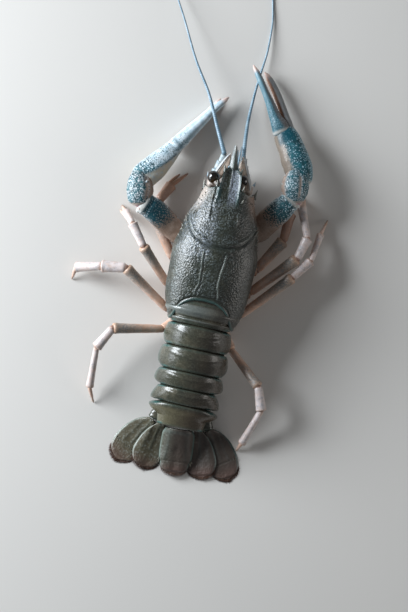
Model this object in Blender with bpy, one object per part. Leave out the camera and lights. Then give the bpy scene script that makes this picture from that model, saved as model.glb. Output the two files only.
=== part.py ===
"""A narrow-clawed crayfish, life size, resting on the floor with its claws reaching forward.

+Y runs forward along the shell, +X is the animal's right and +Z is up. The origin is on the floor
under the chest. Sizes are in millimetres, and solid() writes every mesh in metres.
"""

import math

import bmesh
import bpy
from mathutils import Vector

MM = 0.001
GAP = 0.3
UP = Vector((0, 0, 1))
SIDES = {"left": -1, "right": 1}

COLOURS = {
    "shell": ((0.16, 0.18, 0.14), 0.45),
    "tail": ((0.13, 0.15, 0.11), 0.25),
    "claw": ((0.42, 0.58, 0.62), 0.35),
    "limb": ((0.55, 0.42, 0.33), 0.4),
    "feeler": ((0.22, 0.34, 0.40), 0.35),
    "eye": ((0.01, 0.01, 0.012), 0.08),
}


def curve(keys):
    """A smooth function through (place, value) pairs, without overshoot and level past its ends."""
    places = [key[0] for key in keys]
    values = [key[1] for key in keys]
    rises = [(values[i + 1] - values[i]) / (places[i + 1] - places[i]) for i in range(len(keys) - 1)]
    slopes = [rises[0]]
    for before, after in zip(rises, rises[1:]):
        slopes.append(0.0 if before * after <= 0 else 2 * before * after / (before + after))
    slopes.append(rises[-1])

    def value_at(place):
        if place <= places[0]:
            return values[0]
        if place >= places[-1]:
            return values[-1]
        i = next(k for k in range(len(rises)) if place <= places[k + 1])
        span = places[i + 1] - places[i]
        t = (place - places[i]) / span
        return (
            values[i] * (1 + 2 * t) * (1 - t) ** 2
            + values[i + 1] * t * t * (3 - 2 * t)
            + span * (slopes[i] * t * (1 - t) ** 2 - slopes[i + 1] * t * t * (1 - t))
        )

    return value_at


def ease(place, start, end):
    """0 before start, 1 past end, and smooth between."""
    t = min(max((place - start) / (end - start), 0.0), 1.0)
    return t * t * (3 - 2 * t)


def bump(place, centre, reach):
    """1 at the centre, fading to 0 at reach on both sides."""
    return 1 - ease(abs(place - centre), 0, reach)


# The body's midline bends a little to the right behind the shell and to the left at the beak.
midline = curve(
    [(-84, 2.0), (-66, 0.9), (-45, 0.6), (-33, 0.4), (-18, 0.1), (-5, 0), (31, 0.3), (47, -0.9)]
)


def material_for(finish):
    made = bpy.data.materials.get(finish)
    if made is None:
        made = bpy.data.materials.new(finish)
        made.use_nodes = True
        shader = made.node_tree.nodes["Principled BSDF"]
        colour, roughness = COLOURS[finish]
        shader.inputs["Base Color"].default_value = (*colour, 1)
        shader.inputs["Roughness"].default_value = roughness
    return made


def solid(name, rings, finish, start_cap=None, end_cap=None):
    """A closed mesh through rings of equal count, each end closed by a fan to its cap point."""
    bm = bmesh.new()
    rows = [[bm.verts.new(Vector((p.x, p.y, max(p.z, 0.0))) * MM) for p in ring] for ring in rings]
    count = len(rows[0])
    for lower, upper in zip(rows, rows[1:]):
        for i in range(count):
            j = (i + 1) % count
            bm.faces.new((lower[i], lower[j], upper[j], upper[i]))
    for row, cap in ((rows[0], start_cap), (rows[-1], end_cap)):
        centre = cap * MM if cap is not None else sum((v.co for v in row), Vector()) / count
        hub = bm.verts.new(centre)
        for i in range(count):
            bm.faces.new((row[i], row[(i + 1) % count], hub))
    bmesh.ops.recalc_face_normals(bm, faces=bm.faces)
    mesh = bpy.data.meshes.new(name)
    bm.to_mesh(mesh)
    bm.free()
    mesh.shade_smooth()
    mesh.materials.append(material_for(finish))
    obj = bpy.data.objects.new(name, mesh)
    bpy.context.scene.collection.objects.link(obj)
    return obj


def largest_surface(mesh):
    """Keeps the biggest closed surface of a mesh, so that no scrap or sealed hollow is left."""
    bm = bmesh.new()
    bm.from_mesh(mesh)
    bmesh.ops.triangulate(bm, faces=bm.faces)
    left = set(bm.faces)
    shells = []
    while left:
        todo = [left.pop()]
        shell = []
        while todo:
            face = todo.pop()
            shell.append(face)
            for edge in face.edges:
                for other in edge.link_faces:
                    if other in left:
                        left.remove(other)
                        todo.append(other)
        shells.append(shell)

    def volume(shell):
        return abs(sum(f.verts[0].co.dot(f.verts[1].co.cross(f.verts[2].co)) for f in shell))

    shells.sort(key=volume)
    loose = [face for shell in shells[:-1] for face in shell]
    bmesh.ops.delete(bm, geom=loose, context="FACES")
    bm.to_mesh(mesh)
    bm.free()


def fuse(body, pieces):
    """Joins closed pieces to a body with one union and removes them."""
    if not pieces:
        return body
    collection = bpy.data.collections.new(body.name + "_pieces")
    bpy.context.scene.collection.children.link(collection)
    for piece in pieces:
        bpy.context.scene.collection.objects.unlink(piece)
        collection.objects.link(piece)
        piece.data.materials.clear()
    union = body.modifiers.new("union", "BOOLEAN")
    union.operation = "UNION"
    union.operand_type = "COLLECTION"
    union.collection = collection
    union.solver = "EXACT"
    bpy.context.view_layer.update()
    joined = bpy.data.meshes.new_from_object(body.evaluated_get(bpy.context.evaluated_depsgraph_get()))
    body.modifiers.clear()
    body.data = joined
    largest_surface(joined)
    joined.shade_smooth()
    for piece in pieces:
        bpy.data.objects.remove(piece)
    bpy.data.collections.remove(collection)
    return body


def way(heading, pitch, side=1):
    """A unit vector from a heading, outward from forward, and a pitch, upward, in degrees."""
    out, up = math.radians(heading), math.radians(pitch)
    return Vector((side * math.sin(out) * math.cos(up), math.cos(out) * math.cos(up), math.sin(up)))


def oval(centre, direction, half_width, half_depth, sides=8):
    """A ring square to a direction, with its width level."""
    direction = direction.normalized()
    wide = direction.cross(UP).normalized()
    deep = wide.cross(direction)
    ring = []
    for i in range(sides):
        a = 2 * math.pi * (i + 0.5) / sides
        ring.append(centre + wide * half_width * math.cos(a) + deep * half_depth * math.sin(a))
    return ring


def tube(name, points, sizes, finish, sides=8, first=None):
    """A solid along points, with (half width, half depth) at each, and mitred rings between."""
    rings = []
    for i, (point, (half_width, half_depth)) in enumerate(zip(points, sizes)):
        before = points[i] - points[i - 1] if i else points[1] - points[0]
        after = points[i + 1] - points[i] if i + 1 < len(points) else before
        direction = before.normalized() + after.normalized()
        if i == 0 and first is not None:
            direction = first
        rings.append(oval(point, direction, half_width, half_depth, sides))
    return solid(name, rings, finish)


def spine(root, direction, length, radius, sides=5):
    """A thorn whose foot is sunk into what it grows from."""
    direction = direction.normalized()
    foot = root - direction * radius * 1.2
    rings = [
        oval(foot, direction, radius, radius, sides),
        oval(root + direction * length * 0.45, direction, radius * 0.55, radius * 0.55, sides),
    ]
    return solid("spine", rings, "shell", None, root + direction * length)


# Limb segments narrow at both joints. A claw-like last segment tapers to its tip.
SEGMENT_SHAPE = ((0.14, 0.95), (0.5, 1.0), (0.86, 1.04))
TIP_SHAPE = ((0.3, 0.8), (0.7, 0.56))
MITRE_ROOM = 1.1


def limb_rings(start, segments, side, sides, pointed=True):
    """Rings along jointed segments of (length, heading, pitch, half width, half depth).

    Returns one list of rings for each segment, and the joints with the direction that halves each bend.
    """
    joint = start
    ways = [way(heading, pitch, side) for _, heading, pitch, _, _ in segments]
    joints = [(joint, ways[0])]
    parts = []
    for i, (length, _, _, half_width, half_depth) in enumerate(segments):
        last = i + 1 == len(segments)
        tapered = last and pointed
        end = joint + ways[i] * length
        bend_in = ways[i].angle(ways[i - 1]) if i else 0.0
        bend_out = 0.0 if last else ways[i].angle(ways[i + 1])
        halfway = ways[i] if last else (ways[i] + ways[i + 1]).normalized()
        room_in = half_width * math.tan(bend_in / 2) * MITRE_ROOM
        room_out = half_width * math.tan(bend_out / 2) * MITRE_ROOM
        rings = []
        for t, share in TIP_SHAPE if tapered else SEGMENT_SHAPE:
            if t * length > room_in and (1 - t) * length > room_out:
                centre = joint + ways[i] * length * t
                rings.append(oval(centre, ways[i], half_width * share, half_depth * share, sides))
        parts.append(rings)
        joint = end
        joints.append((end, halfway))
    return parts, joints


def joint_ring(joint, half_width, half_depth, sides, shift=0.0):
    point, direction = joint
    return oval(point + direction * shift, direction, half_width, half_depth, sides)


# The shell: heights and half widths along the body, and the lines that its edge and grooves follow.
SHELL_WALL = 30.0
RECESS_FLOOR = -12.6
RIM = 1.1
GROOVE_HALF = 1.3
GROOVE_DEPTH = 1.0
shell_half_width = curve(
    [(-24, 13.0), (-15, 15.7), (-5, 16.7), (2.5, 16.9), (11, 15.3), (18.5, 13.2), (24, 11.4), (30, 9.7)]
)
shell_top = curve(
    [(-24, 23.8), (-14.8, 25.2), (-5, 27.6), (5, 28.6), (12, 28.2), (20, 26.8), (26, 25.2), (30, 24.2)]
)
shell_waist = curve([(-24, 12), (0, 12.5), (20, 13.6), (30, 14.5)])
shell_floor = curve([(-24, 6.6), (8, 6.6), (14, 7.2), (20, 8.2), (30, 9.6)])
rear_edge = curve(
    [(0, -14.8), (20, -15.2), (45, -19.5), (68, -23.6), (90, -24.0), (115, -23.0), (145, -20.5), (180, -18.0),
     (270, -17.0)]
)
neck_groove = curve([(0, 6.2), (17, 7.3), (30, 9.1), (42, 12.0), (70, 15.6), (100, 19.0), (270, 19.0)])
BEAK_ROOT_DEPTH = 2.4
BEAK_PLACES = (SHELL_WALL + 0.05, 32.5, 35.0, 37.4, 38.8, 41.5, 44.5, 47.2)
beak_half_width = curve([(30, 4.0), (34, 3.5), (37.6, 3.0), (38.8, 1.9), (43, 1.15), (47.2, 0.3)])
beak_top = curve([(30, 24.2), (36, 23.2), (42, 22.6), (47.2, 23.0)])
beak_depth = curve([(30, BEAK_ROOT_DEPTH), (40, 1.6), (47.2, 0.5)])
# Turns round a section: 0 at the crown, 90 at the widest, 180 at the lower corner, 270 beneath.
SHELL_TURNS = (0, 5.5, 11.5, 18, 27, 38, 50, 62, 76, 90, 115, 145, 180, 225, 270)
TUCK = 0.14
ROUNDNESS = 0.87


def section_point(turn, y, half_width, top, waist, floor):
    side = -1 if turn < 0 else 1
    turn = abs(turn)
    if turn <= 90:
        a = math.radians(turn)
        x = half_width * math.sin(a) ** ROUNDNESS
        z = waist + (top - waist) * max(math.cos(a), 0.0) ** ROUNDNESS
    elif turn <= 180:
        a = math.radians(turn - 90)
        x = half_width * (1 - TUCK * (1 - math.cos(a)))
        z = waist - (waist - floor) * math.sin(a)
    else:
        x = half_width * (1 - TUCK) * (270 - turn) / 90
        z = floor
    return Vector((midline(y) + side * x, y, z))


def shell_point(turn, y, inset=0.0):
    return section_point(
        turn, y, shell_half_width(y) - inset, shell_top(y) - inset, shell_waist(y), shell_floor(y) + inset
    )


def full_turns(turns):
    return list(turns) + [-turn for turn in reversed(turns[1:-1])]


def shell_relief(turn, y, on_groove):
    """How far the shell's surface stands above its plain section."""
    turn = abs(turn)
    relief = -GROOVE_DEPTH * (1 - ease(turn, 95, 150)) if on_groove else 0.0
    if turn == 11.5:
        relief -= 0.6 * ease(y, -13, -9) * (1 - ease(y, 1, 5))
    if turn == 27:
        relief += 0.6 * ease(y, 21, 25)
    if turn == 18:
        relief += 0.5 * ease(y, 24, 29)
    if turn in (5.5, 11.5):
        relief -= 0.45 * ease(y, 22, 29)
    return relief


def shell():
    turns = full_turns(SHELL_TURNS)
    rows = []
    behind = (0.0, 0.06, 0.16, 0.28, 0.42, 0.56, 0.7, 0.83)
    ahead = (0.14, 0.3, 0.46, 0.62, 0.78, 0.9, 1.0)
    places = [("behind", share) for share in behind]
    places += [("groove", off) for off in (-GROOVE_HALF, 0.0, GROOVE_HALF)]
    places += [("ahead", share) for share in ahead]
    for kind, share in places:
        row = []
        for turn in turns:
            rear, groove = rear_edge(abs(turn)), neck_groove(abs(turn))
            if kind == "behind":
                y = rear + (groove - GROOVE_HALF - rear) * share
            elif kind == "groove":
                y = groove + share
            else:
                y = groove + GROOVE_HALF + (SHELL_WALL - groove - GROOVE_HALF) * share
            relief = shell_relief(turn, y, kind == "groove" and share == 0.0)
            row.append(shell_point(turn, y, -relief))
        rows.append(row)
    rim = [shell_point(turn, rear_edge(abs(turn)), RIM) for turn in turns]
    recess = [shell_point(turn, RECESS_FLOOR, RIM + 0.3) for turn in turns]
    beak = []
    for y in BEAK_PLACES:
        top, depth = beak_top(y), beak_depth(y)
        ring = [
            section_point(turn, y, beak_half_width(y), top, top - depth * 0.45, top - depth) for turn in turns
        ]
        # The beak is hollowed a little on both sides of its keel.
        for point, turn in zip(ring, turns):
            if abs(turn) in (5.5, 11.5, 18, 27):
                point.z -= 0.35 * depth / BEAK_ROOT_DEPTH
        beak.append(ring)
    rings = [recess, rim, *rows, *beak]
    body = solid("carapace", rings, "shell", Vector((0, RECESS_FLOOR, 15)))
    return fuse(body, shell_spines())


def shell_spines():
    pieces = []
    for side in (-1, 1):
        # The thorn below the eye, the two on the ridge behind it, and those on the sides of the neck.
        for turn, y, length, radius, forward in (
            (88, 28.2, 4.0, 0.85, 6.0),
            (27, 28.6, 2.4, 0.7, 3.5),
            (27, 24.0, 1.6, 0.6, 2.0),
            (70, 13.6, 1.8, 0.6, 1.2),
            (80, 14.6, 1.5, 0.55, 1.2),
            (66, 9.6, 1.1, 0.5, 1.0),
        ):
            root = shell_point(side * turn, y)
            outward = (root - Vector((midline(y), y, 15))).normalized()
            pieces.append(spine(root, outward + Vector((0, forward, 0)), length, radius))
        for y, length in ((32.6, 1.5), (35.2, 1.7), (37.8, 2.6)):
            root = Vector((midline(y) + side * (beak_half_width(y) - 0.4), y - 0.4, beak_top(y) - 0.6))
            pieces.append(spine(root, Vector((side * 0.45, 1, 0.08)), length, 0.55))
    return pieces


# Where each limb leaves the chest: places along the body, from the claws back to the last leg.
CHEST_SIDE = 6.5
CHEST_TOP = 6.3
HIP_X = CHEST_SIDE + GAP
HIPS = {"cheliped": 9.0, "leg_1": 0.6, "leg_2": -9.2, "leg_3": -17.0, "leg_4": -23.2}
CHEST_REAR = -26.0
CHEST_FRONT = 15.0
FLOOR_FLAT = 4.4


def chest():
    """The underside plate between the limbs, with a boss at each hip and a flat that rests on the floor."""
    places = [(CHEST_REAR, 3.6), (CHEST_REAR + 0.6, 5.2)]
    for hip in sorted(HIPS.values()):
        reach = 2.9 if hip > 5 else 2.1
        places += [(hip - reach - 0.4, 5.4), (hip - reach, CHEST_SIDE), (hip + reach, CHEST_SIDE)]
        places += [(hip + reach + 0.4, 5.4)]
    places += [(CHEST_FRONT - 1.5, 5.0), (CHEST_FRONT, 4.2)]
    rings = []
    for y, half in sorted(places):
        flat = min(FLOOR_FLAT, half - 1.2)
        outline = ((half, CHEST_TOP), (half, 1.3), (flat, 0.0))
        ring = [Vector((x, y, z)) for x, z in outline]
        ring += [Vector((-x, y, z)) for x, z in reversed(outline)]
        rings.append(ring)
    return solid("sternum", rings, "limb")


def mouth():
    """The mouth's block, beneath the shell and above the two long mouth limbs."""
    rings = []
    for y, half in ((16.4, 3.4), (18.0, 4.4), (26.0, 4.2), (29.0, 3.2)):
        top = shell_floor(y) - GAP
        outline = ((half, top), (half, 6.4), (half - 1.0, 6.1))
        ring = [Vector((x, y, z)) for x, z in outline]
        ring += [Vector((-x, y, z)) for x, z in reversed(outline)]
        rings.append(ring)
    return solid("mouthparts", rings, "limb")


# A mouth limb as (across, forward, height, half width), from the chest to its folded tip.
MAXILLIPED = (
    (2.5, CHEST_FRONT + GAP, 3.2, 1.4), (2.9, 19.0, 3.4, 1.7), (2.9, 25.0, 3.5, 1.6), (2.6, 30.0, 3.9, 1.1),
    (2.3, 30.9, 4.4, 1.1), (1.7, 34.5, 6.2, 1.1), (1.3, 37.2, 6.4, 0.8), (1.2, 39.5, 5.2, 0.35),
)


def maxilliped(name, sign):
    points = [Vector((sign * x, y, z)) for x, y, z, _ in MAXILLIPED]
    sizes = [(half, half) for _, _, _, half in MAXILLIPED]
    return tube(name, points, sizes, "limb", first=Vector((0, 1, 0)))


# The head's parts, given for the left side, and for the right side where it is held otherwise.
EYES = {"left": (Vector((-7.5, 33.0, 18.0)), 2.55), "right": (Vector((5.4, 33.6, 18.1)), 2.4)}
STALK = Vector((4.3, SHELL_WALL + 0.05 + GAP, 19.6))
STALK_RADIUS = 1.7
CUP_MIDDLE = 0.89
PEDUNCLE_ENDS = {"left": Vector((-4.6, 43.2, 14.4)), "right": Vector((3.0, 43.3, 13.4))}


def eye(name, side):
    """A ball whose poles lie along its stalk."""
    centre, radius = EYES[side]
    rings = []
    steps = 9
    axis = (centre - Vector((STALK.x * SIDES[side], STALK.y, STALK.z))).normalized()
    for i in range(1, steps):
        a = math.pi * i / steps
        girth = radius * math.sin(a)
        rings.append(oval(centre - axis * radius * math.cos(a), axis, girth, girth, 14))
    return solid(name, rings, "eye", centre - axis * radius, centre + axis * radius)


def eyestalk(name, side):
    """A short stalk from the shell's front wall, cupped round the back of its eye."""
    centre, radius = EYES[side]
    root = Vector((STALK.x * SIDES[side], STALK.y, STALK.z))
    axis = (centre - root).normalized()
    clear = radius + GAP
    back = math.sqrt(clear**2 - STALK_RADIUS**2)
    rim = centre - axis * back
    rings = [
        oval(root, Vector((0, 1, 0)), STALK_RADIUS * 0.9, STALK_RADIUS * 0.9, 10),
        oval(root.lerp(rim, 0.5), Vector((0, 1, 0)) + axis, STALK_RADIUS * 0.95, STALK_RADIUS * 0.95, 10),
        oval(rim, axis, STALK_RADIUS, STALK_RADIUS, 10),
        oval(centre - axis * math.sqrt(clear**2 - CUP_MIDDLE**2), axis, CUP_MIDDLE, CUP_MIDDLE, 10),
    ]
    return solid(name, rings, "shell", None, centre - axis * clear)


def knuckle_of(side):
    """The last knuckle of an antenna's base, behind its end."""
    end = PEDUNCLE_ENDS[side]
    return Vector((end.x + SIDES[side] * 1.9, end.y - 6.0, 12.0))


def antenna_base(name, side):
    sign = SIDES[side]
    end = PEDUNCLE_ENDS[side]
    root = Vector((sign * 6.8, SHELL_WALL + 0.05 + GAP, 11.9))
    knuckle = knuckle_of(side)
    points = [root, Vector((sign * 7.0, 31.6, 11.6)), Vector((sign * 6.9, 33.6, 11.5)), knuckle]
    points += [knuckle.lerp(end, 0.25), knuckle.lerp(end, 0.7), end]
    sizes = [(2.4, 2.0), (2.7, 2.25), (2.4, 2.1), (1.6, 1.45), (1.75, 1.5), (1.45, 1.35), (1.15, 1.15)]
    return tube(name, points, sizes, "feeler", sides=10, first=Vector((0, 1, 0)))


def antennal_scale(name, side):
    """A leaf over the antenna's base, with a thorn at its outer corner."""
    sign = SIDES[side]
    root = Vector((sign * 7.6, 31.6, 14.55))
    tip = Vector((-2.1, 44.4, 16.6)) if side == "left" else Vector((2.6, 43.8, 16.2))
    sizes = ((0.0, 1.2), (0.12, 1.9), (0.35, 2.2), (0.6, 2.0), (0.8, 1.4), (0.93, 0.75), (1.0, 0.3))
    points = [root.lerp(tip, t) for t, _ in sizes]
    halves = [(half, 0.5 if t < 0.9 else 0.35) for t, half in sizes]
    for (t, _), point in zip(sizes, points):
        point.z -= 0.35 * math.sin(math.pi * t)
    return tube(name, points, halves, "feeler")


def antennule(name, side):
    """Three short joints under the beak that carry two whips, which curve down at their ends."""
    sign = SIDES[side]
    joints = (
        (1.5, SHELL_WALL + 0.05 + GAP, 17.2, 1.05), (1.45, 33.0, 17.4, 1.15), (1.4, 36.0, 17.8, 0.95),
        (1.4, 39.0, 18.1, 0.75),
    )
    points = [Vector((sign * x, y, z)) for x, y, z, _ in joints]
    sizes = [(half, half) for _, _, _, half in joints]
    base = tube(name, points, sizes, "feeler", first=Vector((0, 1, 0)))
    whips = []
    for spread, reach in ((-0.1, 9.5), (-0.85, 8.0)):
        whip = ((0.0, 0.42), (0.3, 0.38), (0.6, 0.34), (0.85, 0.3), (1.0, 0.18))
        line = [
            Vector((sign * (1.4 + spread * (0.4 + t)), 38.0 + reach * t, 18.1 - 6.5 * t**3)) for t, _ in whip
        ]
        whips.append(tube("whip", line, [(half, half) for _, half in whip], "feeler", sides=6))
    return fuse(base, whips)


# Each feeler's course over the floor as (forward, across, height), from its joint to its tip.
FEELERS = {
    "left": ((44.0, -5.0, 14.5), (54.1, -10.1, 13.0), (65.2, -15.5, 11.0), (78.0, -23.7, 8.2),
             (93.7, -32.0, 5.2), (107.0, -39.5, 3.0), (122.0, -47.0, 1.2), (138.0, -53.5, 0.1)),
    "right": ((44.0, 2.75, 13.3), (50.9, 2.1, 10.6), (60.0, 1.6, 6.9), (69.1, 1.8, 4.2), (79.2, 2.5, 2.5),
              (88.8, 3.25, 1.6), (97.8, 3.0, 0.8), (108.8, 1.0, 0.3), (124.0, -3.0, 0.1), (139.0, -9.0, 0.1)),
}
FEELER_POINTS = 20
feeler_radius = curve([(0, 0.9), (0.15, 0.66), (0.4, 0.44), (0.7, 0.32), (0.97, 0.26), (1.0, 0.15)])


def feeler(name, side):
    """The long whip, from its base's end to its tip on the floor."""
    keys = FEELERS[side]
    across = curve([(y, x) for y, x, _ in keys])
    height = curve([(y, z) for y, _, z in keys])
    start, end = keys[0][0], keys[-1][0]
    line = []
    for i in range(FEELER_POINTS + 1):
        y = start + (end - start) * i / FEELER_POINTS
        line.append(Vector((across(y), y, max(height(y), feeler_radius(i / FEELER_POINTS)))))
    root = PEDUNCLE_ENDS[side]
    line[0] = root + (line[1] - line[0]).normalized() * GAP
    sizes = [(feeler_radius(i / FEELER_POINTS),) * 2 for i in range(FEELER_POINTS + 1)]
    return tube(name, line, sizes, "feeler", sides=6, first=root - knuckle_of(side))


# Walking legs: (length, heading, pitch, half width) of the hip, its ring and the thigh, then of the
# shin, foot and toe.
LEGS = {
    ("leg_1", "left"): (
        ((3.6, 90, 0, 2.0), (6.2, 97, -6, 2.0), (19.1, 35.1, 1.5, 1.7)),
        ((5.7, -12, -2, 1.7), (8.0, -26, -10, 1.8), (8.3, -43, -20, 0.95)),
    ),
    ("leg_2", "left"): (
        ((3.6, 90, 0, 1.9), (6.0, 107, 12, 1.9), (19.5, 44.5, 28, 1.6)),
        ((10.2, 38, -9.6, 1.5), (10.5, 43.6, -55.7, 1.3), (4.5, 42, -57, 0.85)),
    ),
    ("leg_3", "left"): (
        ((3.0, 90, 0, 1.7), (5.6, 130, 7, 1.8), (24.0, 57, 19.2, 1.65)),
        ((9.8, 97.8, -10.6, 1.9), (12.0, 103.6, -28.3, 1.6), (6.6, 169.8, -38.9, 0.8)),
    ),
    ("leg_4", "left"): (
        ((2.6, 90, 0, 1.5), (7.0, 143, 14, 1.6), (21.6, 101.4, 21.9, 1.6)),
        ((9.9, 152.1, -5.8, 1.6), (17.8, 181, -23.1, 1.15), (7.9, 204.1, -35.9, 0.7)),
    ),
    ("leg_1", "right"): (
        ((3.6, 90, 0, 2.0), (7.3, 78, 6.3, 2.0), (15.8, 30.2, 11.0, 1.9)),
        ((11.4, 3, -9.9, 1.7), (7.1, -27, -19.7, 1.7), (5.6, -31, -25, 0.9)),
    ),
    ("leg_2", "right"): (
        ((3.6, 90, 0, 1.9), (6.8, 73, 8.7, 1.9), (23.8, 42, 18.6, 1.75)),
        ((9.0, 15.6, -7.7, 1.6), (15.0, -21, -27.8, 1.35), (5.6, -8, -38, 0.8)),
    ),
    ("leg_3", "right"): (
        ((3.0, 90, 0, 1.7), (5.2, 90, 10.6, 1.8), (26.6, 41.7, 17.1, 1.65)),
        ((9.6, 36, -6, 1.45), (13.1, 9.4, -27.2, 1.1), (8.3, 15.7, -34.7, 0.65)),
    ),
    ("leg_4", "right"): (
        ((2.6, 90, 0, 1.5), (9.2, 149, 10.7, 1.6), (19.5, 131.2, 21.6, 1.5)),
        ((9.6, 160.4, -6, 1.6), (17.1, 197.2, -24.2, 1.2), (5.2, 202.8, -47, 0.7)),
    ),
}
HIP_HEIGHTS = {"leg_1": 3.4, "leg_2": 3.4, "leg_3": 3.2, "leg_4": 3.0}
LEG_SIDES = 8
DEPTH_SHARE = 0.92
HIP_SHARE = 0.84
JOINT_SHARE = 0.76
TOE_SHARE = 0.42


def leg(kind, side):
    """One walking leg, in two nodes that meet at the knee."""
    upper, lower = LEGS[kind, side]
    sign = SIDES[side]
    segments = [(*row, row[3] * DEPTH_SHARE) for row in upper + lower]
    hip = Vector((sign * HIP_X, HIPS[kind], HIP_HEIGHTS[kind]))
    segments = landed(hip, segments, sign)
    parts, joints = limb_rings(hip, segments, sign, LEG_SIDES)
    chains = (range(3), range(3, 6))
    for half, chain in zip(("upper", "lower"), chains):
        rings = []
        for i in chain:
            width = segments[i][3] * (HIP_SHARE if i == 0 else JOINT_SHARE)
            if i in (0, 3):
                rings.append(joint_ring(joints[i], width, width * DEPTH_SHARE, LEG_SIDES, GAP / 2 if i else 0))
            rings += parts[i]
            if i in (2, 5):
                end = width * TOE_SHARE if i == 5 else width
                rings.append(joint_ring(joints[i + 1], end, end, LEG_SIDES, 0 if i == 5 else -GAP / 2))
            else:
                narrow = min(segments[i][3], segments[i + 1][3]) * 0.8
                rings.append(joint_ring(joints[i + 1], narrow, narrow * DEPTH_SHARE, LEG_SIDES))
        made = solid(f"{kind}_{side}_{half}", rings, "limb")
        if half == "lower" and kind in ("leg_1", "leg_2"):
            fuse(made, [leg_finger(joints, segments, sign)])


def landed(hip, segments, sign):
    """The same segments with the toe's pitch set so that its tip just reaches the floor."""
    height = hip.z + sum(row[0] * math.sin(math.radians(row[2])) for row in segments[:-1])
    length, heading, _, half_width, half_depth = segments[-1]
    tip_radius = half_width * JOINT_SHARE * TOE_SHARE
    pitch = -math.degrees(math.asin(min((height - tip_radius * 0.35) / length, 0.98)))
    return [*segments[:-1], (length, heading, pitch, half_width, half_depth)]


def leg_finger(joints, segments, sign):
    """The short fixed finger beside the toe of a leg that ends in a small pincer."""
    root, _ = joints[5]
    tip, _ = joints[6]
    beside = (tip - root).cross(UP).normalized() * sign
    toe = segments[5][3]
    start = root + beside * toe * 0.5 - (tip - root).normalized() * 1.2
    end = root.lerp(tip, 0.62) + beside * toe * 1.5
    end.z = max(end.z, 0.35)
    middle = start.lerp(end, 0.5)
    sizes = [(half, half) for half in (toe * 0.8, toe * 0.6, 0.22)]
    return tube("finger", [start, middle, end], sizes, "limb", sides=6)


# Claws: hip joint and trochanter, thigh, wrist and palm as (length, heading, pitch, half width, half depth).
CLAWS = {
    "left": (
        ((3.7, 90, 1.5, 2.9, 2.4), (4.2, 87, 13.7, 3.3, 2.3), (20.9, 64.8, 25.5, 4.9, 3.1),
         (12.4, 18.4, -16, 4.5, 4.0), (19.1, -38.9, -12, 5.1, 4.7)),
        {"fixed_from": (-0.3, -2.3), "fixed_to": (-11.1, 66.0, 0.3), "finger_from": (0.2, 2.3),
         "finger_to": (-8.0, 66.5, 3.9), "depth": 0.72},
    ),
    "right": (
        ((2.8, 90, 2, 2.9, 2.4), (6.9, 35.5, 7.5, 3.1, 2.3), (20.6, 36.3, 20.8, 4.5, 3.4),
         (11.5, 4.6, -12.5, 4.6, 3.9), (18.0, -29.3, -9.9, 5.3, 4.2)),
        {"fixed_from": (2.3, -0.7), "fixed_to": (3.9, 79.8, 0.3), "finger_from": (-2.2, 0.9),
         "finger_to": (-1.2, 80.7, 5.6), "depth": 0.85},
    ),
}
CLAW_SIDES = 12
PALM_SHAPE = ((0.3, 0.98), (0.6, 1.0), (0.88, 0.88))
FINGER_STEP = 0.05
FINGER_SINK = 0.2
FINGER_SHAPES = {
    "left": ((0.0, 2.3), (0.1, 2.5), (0.35, 2.3), (0.6, 1.9), (0.8, 1.5), (0.94, 1.0), (1.0, 0.45)),
    "right": ((0.0, 2.2), (0.08, 2.45), (0.33, 1.8), (0.6, 1.35), (0.8, 1.1), (0.95, 0.85), (1.0, 0.4)),
}
FIXED_SHAPES = {
    "left": ((0.0, 2.3), (0.35, 2.0), (0.6, 1.6), (0.8, 1.3), (0.94, 0.9), (1.0, 0.4)),
    "right": ((0.0, 2.2), (0.33, 1.6), (0.6, 1.2), (0.8, 1.0), (0.95, 0.8), (1.0, 0.4)),
}


CLAW_JOINTS = (0.85, 0.8, 0.72, 0.72, 0.62)
CLAW_THORNS = {
    "merus": ((0.55, 1, 25), (0.78, 1, 25), (0.9, 1, 60), (0.8, -1, 40)),
    "carpus": ((0.35, 1, 15), (0.6, 1, 20), (0.82, 1, 30), (0.5, 1, 55), (0.75, -1, 40)),
}


def claw(side):
    """One claw-bearing limb: hip, thigh, wrist, palm with its fixed finger, and moving finger."""
    segments, fingers = CLAWS[side]
    sign = SIDES[side]
    hip = Vector((sign * HIP_X, HIPS["cheliped"], 3.5))
    parts, joints = limb_rings(hip, segments, sign, CLAW_SIDES, pointed=False)
    names = ("coxa", "coxa", "merus", "carpus")

    def joint_size(i):
        before, after = segments[max(i - 1, 0)], segments[i]
        return min(before[3], after[3]) * CLAW_JOINTS[i], min(before[4], after[4]) * CLAW_JOINTS[i]

    opened = [joint_ring(joints[0], *joint_size(0), CLAW_SIDES)]
    for i, name in enumerate(names):
        opened += parts[i]
        width, depth = joint_size(i + 1)
        if i == 0:
            opened.append(joint_ring(joints[1], width * 1.15, depth * 1.15, CLAW_SIDES))
            continue
        opened.append(joint_ring(joints[i + 1], width, depth, CLAW_SIDES, -GAP / 2))
        made = solid(f"cheliped_{side}_{name}", opened, "claw")
        fuse(made, claw_spines(name, segments[i], joints[i][0], joints[i + 1][0], sign))
        opened = [joint_ring(joints[i + 1], width, depth, CLAW_SIDES, GAP / 2)]
    palm_and_fingers(side, segments[4], fingers, opened, joints)


def claw_spines(name, segment, start, end, sign):
    """Thorns along the inner edge of the thigh and wrist, and a few near their ends."""
    _, _, _, half_width, half_depth = segment
    axis = (end - start).normalized()
    across = axis.cross(UP).normalized() * -sign
    above = across.cross(axis) * -sign
    pieces = []
    for t, inner, lift in CLAW_THORNS.get(name, ()):
        sideways = across * inner * math.cos(math.radians(lift))
        upward = above * math.sin(math.radians(lift))
        root = start.lerp(end, t) + (sideways * half_width + upward * half_depth) * 0.96
        pieces.append(spine(root, sideways + upward + axis * 0.7, 1.5, 0.6))
    return pieces


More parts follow.
